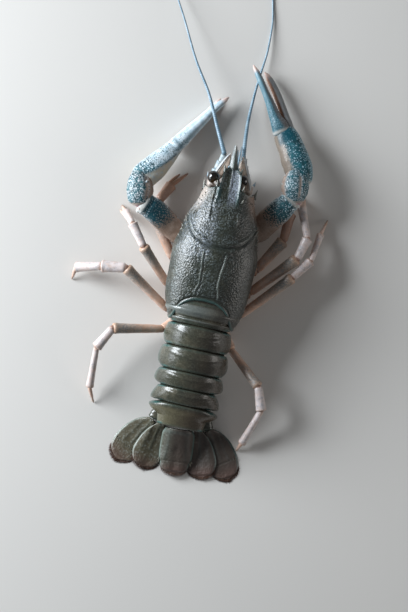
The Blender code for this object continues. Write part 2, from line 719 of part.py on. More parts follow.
def palm_and_fingers(side, palm, fingers, opened, joints):
    """The palm from the wrist's ring on, and the two fingers that leave its flat end."""
    _, _, _, half_width, half_depth = palm
    start, knuckle = joints[4][0], joints[5][0]
    axis = joints[5][1]
    across = axis.cross(UP).normalized()
    above = across.cross(axis)
    depth = fingers["depth"]

    def finger_rings(kind, shape, ahead):
        right, up = fingers[kind + "_from"]
        root = knuckle + across * right + above * up + axis * ahead
        tip = Vector(fingers[kind + "_to"])
        rings = []
        for t, half in shape:
            centre = root.lerp(tip, t)
            centre.z = max(centre.z, half * depth - FINGER_SINK)
            rings.append(oval(centre, tip - root if t else axis, half, half * depth, CLAW_SIDES))
        return rings

    rings = list(opened)
    for t, share in PALM_SHAPE:
        rings.append(oval(start.lerp(knuckle, t), axis, half_width * share, half_depth * share, CLAW_SIDES))
    rings.append(oval(knuckle, axis, half_width * 0.84, half_depth * 0.92, CLAW_SIDES))
    rings += finger_rings("fixed", FIXED_SHAPES[side], FINGER_STEP)
    made = solid(f"cheliped_{side}_propodus", rings, "claw")
    inner = -across if side == "right" else across
    pieces = []
    for t in (0.2, 0.4, 0.6, 0.8):
        root = start.lerp(knuckle, t) + inner * half_width * 0.93 + above * half_depth * 0.25
        pieces.append(spine(root, inner + axis * 0.6, 0.9, 0.55))
    fuse(made, pieces)
    solid(f"cheliped_{side}_dactyl", finger_rings("finger", FINGER_SHAPES[side], FINGER_STEP + GAP), "claw")


# Tail rings: rear edge, half width of the back, half width over the side flaps, crown, height of the
# flaps' points, the share of the ring's length at which they stand, and height of the underside.
RINGS = (
    (-24.4, 11.2, 11.3, 23.3, 10.4, 0.6, 8.3),
    (-33.4, 12.0, 13.6, 22.6, 7.5, 0.58, 8.1),
    (-42.8, 11.6, 14.1, 21.0, 6.0, 0.62, 7.0),
    (-49.6, 11.0, 13.9, 19.0, 5.0, 0.62, 6.2),
    (-56.0, 10.3, 14.0, 17.0, 4.6, 0.75, 5.8),
    (-65.4, 8.4, 13.2, 12.4, 4.6, 0.38, 5.4),
)
TAIL_FRONT = -15.1
TAIL_FRONT_BACK = (11.2, 23.5, 8.3)
BACK_TURNS = (0, 14, 28, 42, 56, 70, 84)
NECK_INSET = 1.5
TAIL_RIM = 1.1
RECESS_DEPTH = 1.9
FLAP_SWEEP = 1.3


def tail_section(y, half_back, half_flap, crown, flap_z, belly_z, sweep=0.0):
    """An outline across the tail: the arch of the back, a flap down each side, and the level belly."""
    waist = belly_z + 0.42 * (crown - belly_z)
    half = []
    for turn in BACK_TURNS:
        a = math.radians(turn)
        half.append((
            half_back * math.sin(a) ** 0.92,
            waist + (crown - waist) * math.cos(a) ** 0.9,
            0.0,
        ))
    half.append((half_back + (half_flap - half_back) * 0.55, waist - (waist - flap_z) * 0.5, 0.4 * sweep))
    half.append((half_flap, flap_z, sweep))
    half.append((half_flap - 1.5, min(flap_z + 0.7, belly_z), 0.8 * sweep))
    half.append((half_back * 0.72, belly_z, 0.0))
    half.append((0.0, belly_z, 0.0))
    points = [Vector((midline(y) + x, y - back, z)) for x, z, back in half]
    points += [Vector((midline(y) - x, y - back, z)) for x, z, back in reversed(half[1:-1])]
    return points


def tail_ring(index):
    """One ring, whose neck reaches into the hollow behind the ring ahead of it."""
    rear, half_back, half_flap, crown, flap_z, flap_place, belly = RINGS[index]
    if index:
        front, front_back, _, front_crown, _, _, front_belly = RINGS[index - 1]
    else:
        front, (front_back, front_crown, front_belly) = TAIL_FRONT, TAIL_FRONT_BACK
    last = index + 1 == len(RINGS)
    length = front - rear
    neck_back = front_back - NECK_INSET
    neck_crown = front_crown - NECK_INSET
    neck_belly = front_belly + NECK_INSET + 0.1
    rings = [
        tail_section(front + RECESS_DEPTH - GAP - 0.1, neck_back - 0.4, neck_back - 0.4, neck_crown - 0.3,
                     neck_belly + 1.2, neck_belly + 0.3),
        tail_section(front + 0.2, neck_back, neck_back, neck_crown, neck_belly + 1.0, neck_belly),
    ]
    for t, inset in ((0.05, 1.35), (0.16, 0.55), (0.32, 0.05), (0.6, -0.25), (0.85, -0.1), (1.0, 0.1)):
        y = front - length * t
        back = front_back + (half_back - front_back) * t - inset
        spread = (half_flap - half_back) * bump(t, flap_place, 0.62) * (t > 0.1)
        top = front_crown + (crown - front_crown) * t - inset
        drop = bump(t, flap_place, 0.7)
        under = front_belly + (belly - front_belly) * ease(t, 0, 0.4)
        under = max(under, neck_belly - 0.8) if t < 0.1 else under
        low = under + 1.5 + (flap_z - under - 1.5) * drop
        rings.append(tail_section(y, back, back + spread, top, low, under, FLAP_SWEEP * drop * ease(t, 0.3, 1)))
    if not last:
        edge = half_back - 0.1
        for y, inset in ((rear, TAIL_RIM), (rear + RECESS_DEPTH, TAIL_RIM + 0.2)):
            rings.append(tail_section(y, edge - inset, edge - inset, crown - 0.1 - inset, belly + inset + 1.0,
                                      belly + inset))
    made = solid(f"abdomen_{index + 1}", rings, "tail")
    if 1 <= index <= 4:
        fuse(made, swimmerets(rear + length * 0.45, belly))
    return made


def swimmerets(y, belly):
    """The small paddles under a tail ring."""
    pieces = []
    for side in (-1, 1):
        root = Vector((midline(y) + side * 5.0, y, belly + 0.9))
        tip = Vector((root.x + side * 0.6, y - 2.4, max(1.1, belly - 5.2)))
        points = [root, root.lerp(tip, 0.5), tip]
        pieces.append(tube("paddle", points, [(0.8, 0.6), (1.4, 0.5), (0.5, 0.3)], "limb", sides=6))
    return pieces


# The tail fan's middle plate and blades: outlines as (distance from the root, reach) on each side.
TELSON_ROOT = Vector((0.9, -65.8 - GAP, 0))
TELSON_HEADING = 176.0
telson_reach = curve(
    [(0, 5.4), (2.5, 6.5), (9.5, 6.7), (13.4, 6.3), (14.2, 5.7), (16.2, 5.2), (17.5, 3.9), (18.0, 1.6)]
)
telson_top = curve([(0, 11.2), (5, 8.0), (10, 5.2), (14, 3.7), (18, 2.7)])
telson_under = curve([(0, 5.8), (5, 3.7), (9, 2.0), (18, 1.5)])
BLADE_LENGTHS = {"exopod": 21.2, "endopod": 18.8}
exopod_outer = curve(
    [(0, 1.6), (2, 3.6), (5.2, 5.5), (9, 6.6), (12.9, 6.9), (17.7, 5.9), (20.0, 4.0), (21.2, 1.2)]
)
exopod_inner = curve([(0, 1.0), (4, 0.4), (10, 2.4), (14, 4.0), (17.6, 4.4), (19.8, 2.4), (21.2, 0.2)])
endopod_outer = curve([(0, 1.3), (3, 3.3), (8, 5.4), (13, 6.2), (16.2, 5.3), (18.0, 3.5), (18.8, 1.0)])
endopod_inner = curve([(0, 1.3), (3, 2.6), (8, 4.8), (12, 5.4), (15.5, 5.2), (17.6, 3.6), (18.8, 0.8)])
# Each blade's root and heading.
BLADES = {
    ("exopod", "left"): (Vector((-10.3, -65.0, 0)), 210.2),
    ("exopod", "right"): (Vector((12.4, -64.4, 0)), 146.6),
    ("endopod", "left"): (Vector((-6.9, -65.6, 0)), 191.0),
    ("endopod", "right"): (Vector((8.7, -65.2, 0)), 164.5),
}
BLADE_SHARES = (0, 0.07, 0.16, 0.28, 0.42, 0.56, 0.68, 0.72, 0.8, 0.88, 0.94, 0.98, 1.0)
SEAM_SHARE = 0.69
BLADE_THICKNESS = 0.9


def plate(name, root, heading, shares, reach_right, reach_left, under, over, rib, thorns):
    """A thin blade laid out from its root along a heading, between two heights, with a raised rib.

    Thorns are (distance, share of the reach to the right, turn to the right).
    """
    forward = way(heading, 0)
    right = forward.cross(UP)
    rings = []
    for s in shares:
        top_row, bottom_row = [], []
        for share in (-1, -0.66, -0.3, 0, 0.3, 0.66, 1):
            off = share * (reach_right(s) if share > 0 else reach_left(s))
            base = root + forward * s + right * off
            low, high = under(s, off), over(s, off)
            if abs(share) == 1:
                top_row.append(base + UP * (low + (high - low) * 0.55))
                bottom_row.append(base + UP * (low + (high - low) * 0.2))
            else:
                top_row.append(base + UP * (high + rib * (share == 0)))
                if abs(share) != 0.3:
                    bottom_row.append(base + UP * low)
        rings.append(top_row + bottom_row[::-1])
    made = solid(name, rings, "tail")
    pieces = []
    for s, share, turn in thorns:
        off = share * (reach_right(s) if share > 0 else reach_left(s)) * 0.93
        at = root + forward * s + right * off
        at.z = (under(s, off) + over(s, off)) / 2
        pieces.append(spine(at, forward + right * turn, 1.3, 0.38, 4))
    return fuse(made, pieces)


def telson():
    """The middle plate, arched where it leaves the last ring and flat at its end."""
    shares = (0, 1.2, 3, 6, 9.5, 12.6, 13.8, 14.4, 16, 17.3, 18)

    def under(s, off):
        return telson_under(s)

    def over(s, off):
        arch = telson_top(s) - telson_under(s) - BLADE_THICKNESS
        return telson_top(s) - arch * (abs(off) / 7.2) ** 2.4

    thorns = ((13.6, 0.97, 0.5), (13.6, -0.97, -0.5))
    reach = telson_reach
    return plate("telson", TELSON_ROOT, TELSON_HEADING, shares, reach, reach, under, over, 0.3, thorns)


def blade(kind, side):
    """One of the two blades on each side of the middle plate. The inner one rests on the outer one's edge."""
    root, heading = BLADES[kind, side]
    length = BLADE_LENGTHS[kind]
    outer, inner = (exopod_outer, exopod_inner) if kind == "exopod" else (endopod_outer, endopod_inner)
    # Facing back, the animal's left side lies to the right.
    reach_right, reach_left = (outer, inner) if side == "left" else (inner, outer)
    sign = 1 if side == "left" else -1

    def lift(s):
        return 1.0 * (1 - ease(s, 0, 5))

    def under(s, off):
        tilt = 1.5 * ease(off * sign, 0.4, 3.4) if kind == "endopod" else 0.0
        return tilt * ease(s, 0.0, 4.0) + lift(s)

    def over(s, off):
        return under(s, off) + BLADE_THICKNESS + 1.3 * (1 - ease(s, 0, 4))

    shares = [length * t for t in BLADE_SHARES]
    thorns = ()
    if kind == "exopod":
        thorns = [(length * SEAM_SHARE, share, 0.1) for share in (-0.9, -0.45, 0.45, 0.9)]
    name = f"uropod_{side}_{kind}"
    return plate(name, root, heading, shares, reach_right, reach_left, under, over, 0.35, thorns)


def protopod(side):
    """The joint under the last tail ring that carries the two blades of one side."""
    sign = SIDES[side]
    exo_root = BLADES["exopod", side][0]
    endo_root = BLADES["endopod", side][0]
    middle = (exo_root + endo_root) / 2
    front = Vector((middle.x - sign * 1.2, -60.6, 2.6))
    rings = []
    for y, x, half, low, high in (
        (-59.6, front.x, 1.6, 1.2, 4.0), (-60.8, front.x, 2.4, 0.7, 4.1), (-63.0, middle.x, 3.2, 0.6, 4.2),
        (max(exo_root.y, endo_root.y) + 0.5, middle.x, 3.2, 0.8, 3.6),
    ):
        outline = ((half, high - 0.8), (half * 0.6, high), (-half * 0.6, high), (-half, high - 0.8),
                   (-half, low + 0.6), (-half * 0.6, low), (half * 0.6, low), (half, low + 0.6))
        slant = 0.3 if y < -63.8 else 0.0
        rings.append([Vector((x + dx, y + slant * sign * dx, z)) for dx, z in outline])
    return solid(f"uropod_{side}_protopod", rings, "tail")


def main():
    for obj in list(bpy.data.objects):
        bpy.data.objects.remove(obj)
    shell()
    chest()
    mouth()
    for side, sign in SIDES.items():
        eyestalk(f"eyestalk_{side}", side)
        eye(f"eye_{side}", side)
        antennule(f"antennule_{side}", side)
        antenna_base(f"antenna_base_{side}", side)
        antennal_scale(f"antennal_scale_{side}", side)
        feeler(f"antenna_{side}", side)
        maxilliped(f"maxilliped_{side}", sign)
        claw(side)
        for kind in ("leg_1", "leg_2", "leg_3", "leg_4"):
            leg(kind, side)
        protopod(side)
        blade("exopod", side)
        blade("endopod", side)
    for index in range(len(RINGS)):
        tail_ring(index)
    telson()


main()
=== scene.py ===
"""A narrow-clawed crayfish as it looks: fine shells, joints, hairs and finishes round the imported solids.

+Y runs forward along the shell, +X is the animal's right and +Z is up. Shapes are made in millimetres
and written in metres.
"""

import math
import random

import bmesh
import bpy
import numpy as np
from mathutils import Matrix, Vector, noise


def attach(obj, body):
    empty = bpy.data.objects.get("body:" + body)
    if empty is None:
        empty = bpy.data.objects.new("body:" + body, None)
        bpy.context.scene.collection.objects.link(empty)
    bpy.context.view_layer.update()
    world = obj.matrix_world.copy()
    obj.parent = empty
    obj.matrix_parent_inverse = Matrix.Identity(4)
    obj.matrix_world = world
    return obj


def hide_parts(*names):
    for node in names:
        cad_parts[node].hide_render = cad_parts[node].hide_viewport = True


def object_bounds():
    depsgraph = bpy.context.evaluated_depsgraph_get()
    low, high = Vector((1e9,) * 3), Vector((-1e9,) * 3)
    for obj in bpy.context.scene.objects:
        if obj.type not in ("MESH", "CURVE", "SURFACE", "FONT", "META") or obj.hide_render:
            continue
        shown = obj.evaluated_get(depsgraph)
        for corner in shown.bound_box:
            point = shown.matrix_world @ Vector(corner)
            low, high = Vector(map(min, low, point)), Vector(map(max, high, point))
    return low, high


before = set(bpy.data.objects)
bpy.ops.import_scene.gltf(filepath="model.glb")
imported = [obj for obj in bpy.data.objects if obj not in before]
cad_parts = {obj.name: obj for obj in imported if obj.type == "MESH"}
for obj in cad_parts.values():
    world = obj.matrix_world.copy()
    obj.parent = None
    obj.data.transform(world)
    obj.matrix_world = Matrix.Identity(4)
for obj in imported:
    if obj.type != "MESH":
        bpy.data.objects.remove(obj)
CAD_BOX = [list(corner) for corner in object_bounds()]

MM = 0.001
UP = np.array((0.0, 0.0, 1.0))
SIDES = {"left": -1, "right": 1}
draw = random.Random(11)
DOME_REACH = 0.62
HAIR_POINTS = 7
OFF_EVERY_HAIR = np.array((0.31, 0.23, 0.92))
BAKE_PATCH = 0.003
BAKE_MARGIN = 0.05


# Curves and masks that work on single numbers and on arrays.


def curve(*keys):
    """A smooth function through (place, value) pairs, without overshoot and level past its ends."""
    places, values = np.array(keys, float).T
    rise = np.diff(values) / np.diff(places)
    slope = np.zeros(len(places))
    slope[0], slope[-1] = rise[0], rise[-1]
    for i in range(1, len(places) - 1):
        if rise[i - 1] * rise[i] > 0:
            slope[i] = 2 * rise[i - 1] * rise[i] / (rise[i - 1] + rise[i])

    def value_at(place):
        place = np.clip(place, places[0], places[-1])
        i = np.clip(np.searchsorted(places, place) - 1, 0, len(places) - 2)
        span = places[i + 1] - places[i]
        t = (place - places[i]) / span
        return (
            values[i] * (1 + 2 * t) * (1 - t) ** 2
            + values[i + 1] * t * t * (3 - 2 * t)
            + span * (slope[i] * t * (1 - t) ** 2 - slope[i + 1] * t * t * (1 - t))
        )

    return value_at


def ease(place, start, end):
    """0 before start, 1 past end, and smooth between."""
    t = np.clip((place - start) / (end - start), 0.0, 1.0)
    return t * t * (3 - 2 * t)


def window(place, start, end, soft):
    """1 between start and end, fading to 0 over a soft length outside them."""
    return ease(place, start - soft, start) * (1 - ease(place, end, end + soft))


def ridge(off, half_width):
    """1 on a line and 0 well off it, for a distance off the line."""
    return np.exp(-((off / half_width) ** 2))


def capped(t, start, end):
    """A girth that closes in a round over the first and last shares of a length."""
    head = np.clip(1 - t / start, 0, 1) if start else 0 * t
    foot = np.clip(1 - (1 - t) / end, 0, 1) if end else 0 * t
    return np.sqrt(np.clip(1 - head**2, 0, 1)) * np.sqrt(np.clip(1 - foot**2, 0, 1))


def unit(vectors):
    """The same directions, each with a length of 1."""
    return vectors / (np.linalg.norm(vectors, axis=-1, keepdims=True) + 1e-12)


def way(degrees, pitch=0.0, sign=1):
    """A unit vector from a heading, outward from forward, and a pitch, upward, in degrees."""
    out, up = math.radians(degrees), math.radians(pitch)
    return np.array((sign * math.sin(out) * math.cos(up), math.cos(out) * math.cos(up), math.sin(up)))


def over_points(points, measure):
    """A measure of each point of a grid, as an array of the grid's shape."""
    flat = points.reshape(-1, 3)
    return np.array([measure(point) for point in flat.tolist()]).reshape(points.shape[:-1])


def granules(points, size):
    """Low domes in a close irregular pack, from 0 between them to 1 at their tops."""
    off_top = over_points(points, lambda point: noise.voronoi([c / size for c in point])[0][0])
    return np.clip(1 - (off_top / DOME_REACH) ** 2, 0, 1)


def wobble(points, size):
    """A gentle unevenness between -1 and 1."""
    return over_points(points, lambda point: noise.noise([c / size for c in point]))


# Shapes: rows of points, each row a closed ring.


class Form:
    """Points, faces and marks of one shape. A mark is a number at each point, which a finish reads."""

    def __init__(self, grid, caps=(True, True), **marks):
        rows, columns = grid.shape[:2]
        index = np.arange(rows * columns).reshape(rows, columns)
        right = np.roll(index, -1, 1)
        self.faces = np.stack([index[:-1], right[:-1], right[1:], index[1:]], -1).reshape(-1, 4).tolist()
        points = [grid.reshape(-1, 3)]
        spread = {name: np.broadcast_to(mark, (rows, columns)) for name, mark in marks.items()}
        self.marks = {name: [mark.reshape(-1)] for name, mark in spread.items()}
        count = rows * columns
        for row in [row for row, wanted in zip((0, rows - 1), caps) if wanted]:
            points.append(grid[row].mean(0)[None])
            self.faces += [[a, b, count] for a, b in zip(index[row].tolist(), right[row].tolist())]
            for name, mark in spread.items():
                self.marks[name].append(mark[row].mean()[None])
            count += 1
        self.points = np.concatenate(points)
        self.marks = {name: np.concatenate(parts) for name, parts in self.marks.items()}

    @classmethod
    def of(cls, points, faces, marks):
        """A shape whose points and faces are worked out already."""
        made = cls.__new__(cls)
        made.points, made.faces, made.marks = points, faces, marks
        return made


def outward(grid):
    """The surface's direction at each point of closed rings."""
    around = np.roll(grid, -1, 1) - np.roll(grid, 1, 1)
    along = np.gradient(grid, axis=0)
    normal = unit(np.cross(around, along))
    inside = grid - grid.mean(1, keepdims=True)
    return normal * np.sign((normal * inside).sum())


def raised(grid, relief):
    """A grid pushed out by a height at each point."""
    return grid + outward(grid) * np.asarray(relief)[..., None]


def wrapped(upper, lower):
    """The rows of an upper face, closed into rings by those of the lower face beneath it."""
    return np.concatenate([upper, lower[:, -2:0:-1]], 1)


def slab_row(x, y, low, top):
    """A closed row that runs out along a lower line and back along an upper one."""
    lower, upper = (np.stack(np.broadcast_arrays(x, y, z), -1) for z in (low, top))
    return np.concatenate([lower, upper[::-1]])


def frames(line):
    """The direction along a line at each of its points, the level direction across it and the one above."""
    along = unit(np.gradient(line, axis=0))
    across = unit(np.cross(along, UP))
    return along, across, np.cross(across, along)


def ring_angles(sides):
    """The angles at which a ring's points stand."""
    return 2 * np.pi * np.arange(sides) / sides


def sweep(line, wide, deep, sides=24, square=1.0):
    """Rings along a line. A column's angle is 0 to the right of the line and a quarter turn above it."""
    _, across, above = frames(line)
    angle = ring_angles(sides)
    c, s = (np.sign(turn) * np.abs(turn) ** square for turn in (np.cos(angle), np.sin(angle)))
    wide, deep = (np.broadcast_to(size, len(line))[:, None, None] for size in (wide, deep))
    grid = line[:, None] + across[:, None] * wide * c[None, :, None] + above[:, None] * deep * s[None, :, None]
    return grid, angle


def run_lengths(points):
    """How far along a line each of its points lies."""
    return np.concatenate([[0], np.cumsum(np.linalg.norm(np.diff(points, axis=0), axis=1))])


def path(points, count):
    """A smooth line through points, evenly divided."""
    points = np.array(points, float)
    steps = run_lengths(points)
    fine = np.linspace(0, steps[-1], count)
    return np.stack([curve(*zip(steps, column))(fine) for column in points.T], -1)


def straight(start, end, count):
    """A straight line of evenly spaced points."""
    t = np.linspace(0, 1, count)[:, None]
    return np.array(start) * (1 - t) + np.array(end) * t


def thorn(root, direction, length, radius, sides=8, **marks):
    """A spine that swells at its foot and tapers to its point."""
    root, direction = np.array(root, float), unit(np.array(direction, float))
    t = np.array([-0.15, 0.0, 0.2, 0.45, 0.7, 0.88, 1.0])
    girth = radius * np.array([1.25, 1.1, 0.78, 0.55, 0.34, 0.17, 0.03])
    line = root + direction * (t * length)[:, None]
    marks.setdefault("pale", 1.0)
    grid, _ = sweep(line, girth, girth, sides)
    share = np.clip(t, 0, 1)[:, None]
    return Form(grid, **{name: share * mark for name, mark in marks.items()})


def knob(centre, radius, squash=1.0, sides=14, **marks):
    """A rounded boss."""
    t = np.linspace(0.02, 0.98, 9)
    girth = radius * np.sin(np.pi * t)
    line = np.array(centre) + UP * (-np.cos(np.pi * t) * radius * squash)[:, None]
    angle = ring_angles(sides)
    circle = np.stack([np.cos(angle), np.sin(angle), 0 * angle], -1)
    return Form(line[:, None] + circle[None] * girth[:, None, None], **marks)


def hairs(roots, ways, lengths, radius, bend=(0, 0, -0.25), pale=0.0):
    """Thin tapering bristles, each of two lengths with a bend between."""
    roots, ways = np.array(roots, float), unit(np.array(ways, float))
    lengths = np.array(lengths, float)[:, None]
    across = unit(np.cross(ways, OFF_EVERY_HAIR))
    above = np.cross(across, ways)
    middle = roots + ways * lengths * 0.5
    tip = middle + unit(ways + np.array(bend)) * lengths * 0.5
    angle = ring_angles(3)
    circle = across[:, None] * np.cos(angle)[None, :, None] + above[:, None] * np.sin(angle)[None, :, None]
    foot = roots[:, None] + circle * radius
    waist = middle[:, None] + circle * radius * 0.75
    points = np.concatenate([foot, waist, tip[:, None]], 1)
    faces = []
    for first in range(0, HAIR_POINTS * len(roots), HAIR_POINTS):
        for a, b in ((0, 1), (1, 2), (2, 0)):
            faces.append([first + a, first + b, first + 3 + b, first + 3 + a])
            faces.append([first + 3 + a, first + 3 + b, first + 6])
    share = np.tile([0, 0, 0, 0.5, 0.5, 0.5, 1.0], len(roots))
    return Form.of(points.reshape(-1, 3), faces, {"tip": share, "pale": share * 0 + pale})


def piece(name, forms, slot, nodes=(), coat=False):
    """One named mesh of several shapes, which rides on the body and stands for the solids it replaces."""
    faces, start = [], 0
    for form in forms:
        faces += [[start + i for i in face] for face in form.faces]
        start += len(form.points)
    points = np.concatenate([form.points for form in forms])
    points[:, 2] = np.maximum(points[:, 2], 0.0)
    mesh = bpy.data.meshes.new(name)
    mesh.from_pydata((points * MM).tolist(), [], faces)
    for mark in sorted({mark for form in forms for mark in form.marks}):
        values = np.concatenate([form.marks.get(mark, np.zeros(len(form.points))) for form in forms])
        mesh.attributes.new(mark, "FLOAT", "POINT").data.foreach_set("value", values.astype(np.float32))
    if coat:
        bake_map(mesh, points)
    mesh.validate()
    turn_outward(mesh)
    mesh.shade_smooth()
    mesh.materials.append(FINISHES["hair" if coat else slot])
    made = bpy.data.objects.new(name, mesh)
    bpy.context.scene.collection.objects.link(made)
    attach(made, "root")
    if nodes:
        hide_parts(*nodes)


def turn_outward(mesh):
    """Turns every closed shell of a mesh to face out."""
    shells = bmesh.new()
    shells.from_mesh(mesh)
    bmesh.ops.recalc_face_normals(shells, faces=shells.faces)
    shells.to_mesh(mesh)
    shells.free()


def bake_map(mesh, points):
    """Gives each bristle a small patch at its root's place on a plan of the body."""
    low, high = np.array(CAD_BOX) / MM
    bristle = np.arange(len(points)) // HAIR_POINTS
    root = points.reshape(-1, HAIR_POINTS, 3)[:, 0]
    plan = (root[:, :2] - low[:2]) / (high[:2] - low[:2]) * (1 - 2 * BAKE_MARGIN) + BAKE_MARGIN
    within = np.tile([(0, 0), (1, 0), (0.5, 0.4), (0, 0.6), (1, 0.6), (0.5, 0.8), (0.5, 1)], (len(root), 1))
    place = plan[bristle] + (within - 0.5) * BAKE_PATCH
    layer = mesh.uv_layers.new(name="OFBake")
    corners = np.zeros(len(mesh.loops), np.int32)
    mesh.loops.foreach_get("vertex_index", corners)
    layer.data.foreach_set("uv", place[corners].astype(np.float32).ravel())


# Finishes: a small language for shader maths.


class Signal:
    """The output of a shader node. Sums and products of signals add the nodes that work them out."""

    def __init__(self, finish, socket):
        self.finish = finish
        self.socket = socket

    def math(self, operation, first, second):
        return self.finish.node("Math", {"operation": operation}, {0: first, 1: second})

    def __add__(self, other):
        return self.math("ADD", self, other)

    def __sub__(self, other):
        return self.math("SUBTRACT", self, other)

    def __rsub__(self, other):
        return self.math("SUBTRACT", other, self)

    def __mul__(self, other):
        return self.math("MULTIPLY", self, other)

    def __pow__(self, other):
        return self.math("POWER", self, other)

    __radd__ = __add__
    __rmul__ = __mul__

    def clamped(self, low, high):
        """0 where the signal is low, 1 where it is high, and smooth between."""
        settings = {"interpolation_type": "SMOOTHSTEP"}
        return self.finish.node("MapRange", settings, {"Value": self, "From Min": low, "From Max": high})


class Finish:
    """A material and the nodes that paint it."""

    def __init__(self, name, roughness, coat=0.0, coat_roughness=0.1, gloss=0.5):
        self.material = bpy.data.materials.new(name)
        self.material.use_nodes = True
        self.tree = self.material.node_tree
        self.shader = self.tree.nodes["Principled BSDF"]
        self.paint("Roughness", roughness)
        self.paint("Specular IOR Level", gloss)
        self.paint("Coat Weight", coat)
        self.paint("Coat Roughness", coat_roughness)
        self.place = self.node("VectorMath", {"operation": "SCALE"}, {
            0: self.node("TexCoord", output="Object"), "Scale": 1 / MM,
        })

    def feed(self, node, key, value):
        """Links a signal to a node's socket, or sets the socket to a plain value."""
        if isinstance(value, Signal):
            self.tree.links.new(value.socket, node.inputs[key])
        else:
            node.inputs[key].default_value = value

    def paint(self, socket, value):
        self.feed(self.shader, socket, value)

    def node(self, kind, settings=None, sockets=None, output=0):
        """Any node: its settings first, then the values or links of its sockets."""
        made = self.tree.nodes.new("ShaderNode" + kind)
        for key, value in (settings or {}).items():
            if key == "stops":
                self.stops(made.color_ramp, value)
            else:
                setattr(made, key, value)
        for key, value in (sockets or {}).items():
            self.feed(made, key, value)
        return Signal(self, made.outputs[output])

    def stops(self, ramp, stops):
        while len(ramp.elements) < len(stops):
            ramp.elements.new(0.5)
        for element, (place, colour) in zip(ramp.elements, stops):
            element.position = place
            element.color = rgba(colour)

    def marks(self, *names):
        """The marks of a surface, by name."""
        return [self.node("Attribute", {"attribute_name": name}, output="Fac") for name in names]

    def blend(self, share, under, over):
        """One colour laid over another by a share."""
        return self.node("Mix", {"data_type": "RGBA"}, {0: share, 6: rgba(under), 7: rgba(over)}, 2)

    def layered(self, base, *layers):
        """Colours laid over a base one after another, each by its share."""
        for share, over in layers:
            base = self.blend(share, base, over)
        return base

    def noise(self, scale, detail=3.0, roughness=0.5, distortion=0.0):
        sockets = {"Vector": self.place, "Scale": scale, "Detail": detail, "Roughness": roughness,
                   "Distortion": distortion}
        return self.node("TexNoise", None, sockets)

    def cells(self, scale, feature="F1", place=None, randomness=1.0):
        sockets = {"Vector": place or self.place, "Scale": scale, "Randomness": randomness}
        return self.node("TexVoronoi", {"feature": feature}, sockets, "Distance")

    def bump(self, height, distance, strength):
        sockets = {"Height": height, "Distance": distance * MM, "Strength": strength}
        self.paint("Normal", self.node("Bump", None, sockets))


def rgba(colour):
    """A signal as it is, or a linear colour from one given in the 0 to 255 steps of a screen."""
    if isinstance(colour, Signal):
        return colour
    steps = np.array(colour) / 255
    return (*np.where(steps <= 0.04045, steps / 12.92, ((steps + 0.055) / 1.055) ** 2.4), 1)


# The animal's lines, as the solids have them.


midline = curve((-84, 2.0), (-66, 0.9), (-45, 0.6), (-33, 0.4), (-18, 0.1), (-5, 0), (31, 0.3), (47, -0.9))
TUCK = 0.14
ROUNDNESS = 0.81
shell_half_width = curve(
    (-24, 13.0), (-15, 15.7), (-5, 16.7), (2.5, 16.9), (11, 15.3), (18.5, 13.2), (24, 11.4), (30, 9.7)
)
shell_top = curve(
    (-24, 23.8), (-14.8, 25.2), (-5, 27.6), (5, 28.6), (12, 28.2), (20, 26.8), (26, 25.2), (30, 24.2)
)
shell_waist = curve((-24, 12), (0, 12.5), (20, 13.6), (30, 14.5))
shell_floor = curve((-24, 6.6), (8, 6.6), (14, 7.2), (20, 8.2), (30, 9.6))
rear_edge = curve(
    (0, -14.8), (10, -15.1), (20, -16.2), (30, -17.7), (45, -20.9), (68, -23.8), (90, -24.0), (115, -23.0),
    (145, -20.5), (180, -18.0), (270, -17.0)
)
front_edge = curve((0, 30.3), (25, 29.7), (45, 29.0), (68, 29.5), (88, 30.2), (115, 28.6), (150, 26.5), (270, 25.0))
neck_groove = curve(
    (0, 6.4), (12, 6.8), (20, 7.9), (30, 9.1), (40, 10.8), (54, 13.2), (70, 15.6), (85, 18.2), (100, 20.5), (270, 20.5)
)
areola_edge = curve((-14, 4.8), (-11, 4.4), (-8, 3.7), (-3, 3.9), (1.5, 4.4), (5, 4.5))
BEAK_TIP = 47.2
beak_half_width = curve(
    (26, 4.2), (30, 4.05), (34, 3.75), (36.4, 3.35), (37.7, 2.3), (38.8, 1.7), (43, 1.05), (46.4, 0.5), (47.2, 0.1)
)
beak_top = curve((26, 25.1), (30, 24.2), (36, 23.2), (42, 22.6), (47.2, 23.0))
beak_depth = curve((26, 3.0), (30, 2.4), (40, 1.6), (47.2, 0.4))


def body_section(turn, y, half_width, top, waist, floor):
    """A point of the shell: turn is 0 at the crown, 90 at the widest, 180 low down and 270 beneath."""
    around = np.abs(turn)
    arch = np.radians(np.clip(around, 0, 90))
    flank = np.radians(np.clip(around - 90, 0, 90))
    under = np.clip(around - 180, 0, 90) / 90
    x = half_width * np.where(around <= 90, np.sin(arch) ** ROUNDNESS, 1 - TUCK * (1 - np.cos(flank)))
    x = x * (1 - under)
    z = np.where(
        around <= 90,
        waist + (top - waist) * np.maximum(np.cos(arch), 0) ** ROUNDNESS,
        waist - (waist - floor) * np.sin(flank),
    )
    z = np.where(around > 180, floor, z)
    return np.stack(np.broadcast_arrays(midline(y) + np.where(turn < 0, -x, x), y, z), -1)


def shell_at(turn, y, inset=0.0):
    """A point of the shell, or of a skin within it."""
    return body_section(
        turn, y, shell_half_width(y) - inset, shell_top(y) - inset, shell_waist(y), shell_floor(y) + inset
    )


# The carapace, with its grooves, ridges, granules and thorns.


SHELL_TURNS = np.concatenate([np.linspace(0, 104, 142, endpoint=False), np.linspace(104, 180, 24), [210, 240, 270]])
SHELL_ROWS = (142, 110)
CARAPACE_RIM = 1.5
SHELL_CORE = 15.0
# forward of the front edge, inset
FACE_STEPS = ((-2.6, 1.3), (-1.8, 1.7), (-1.1, 2.4), (-0.6, 3.4), (-0.2, 4.6))
BEAK_ROOT = 30.2
TROUGH = 0.75
KEEL = 0.3
MARGIN = 0.45


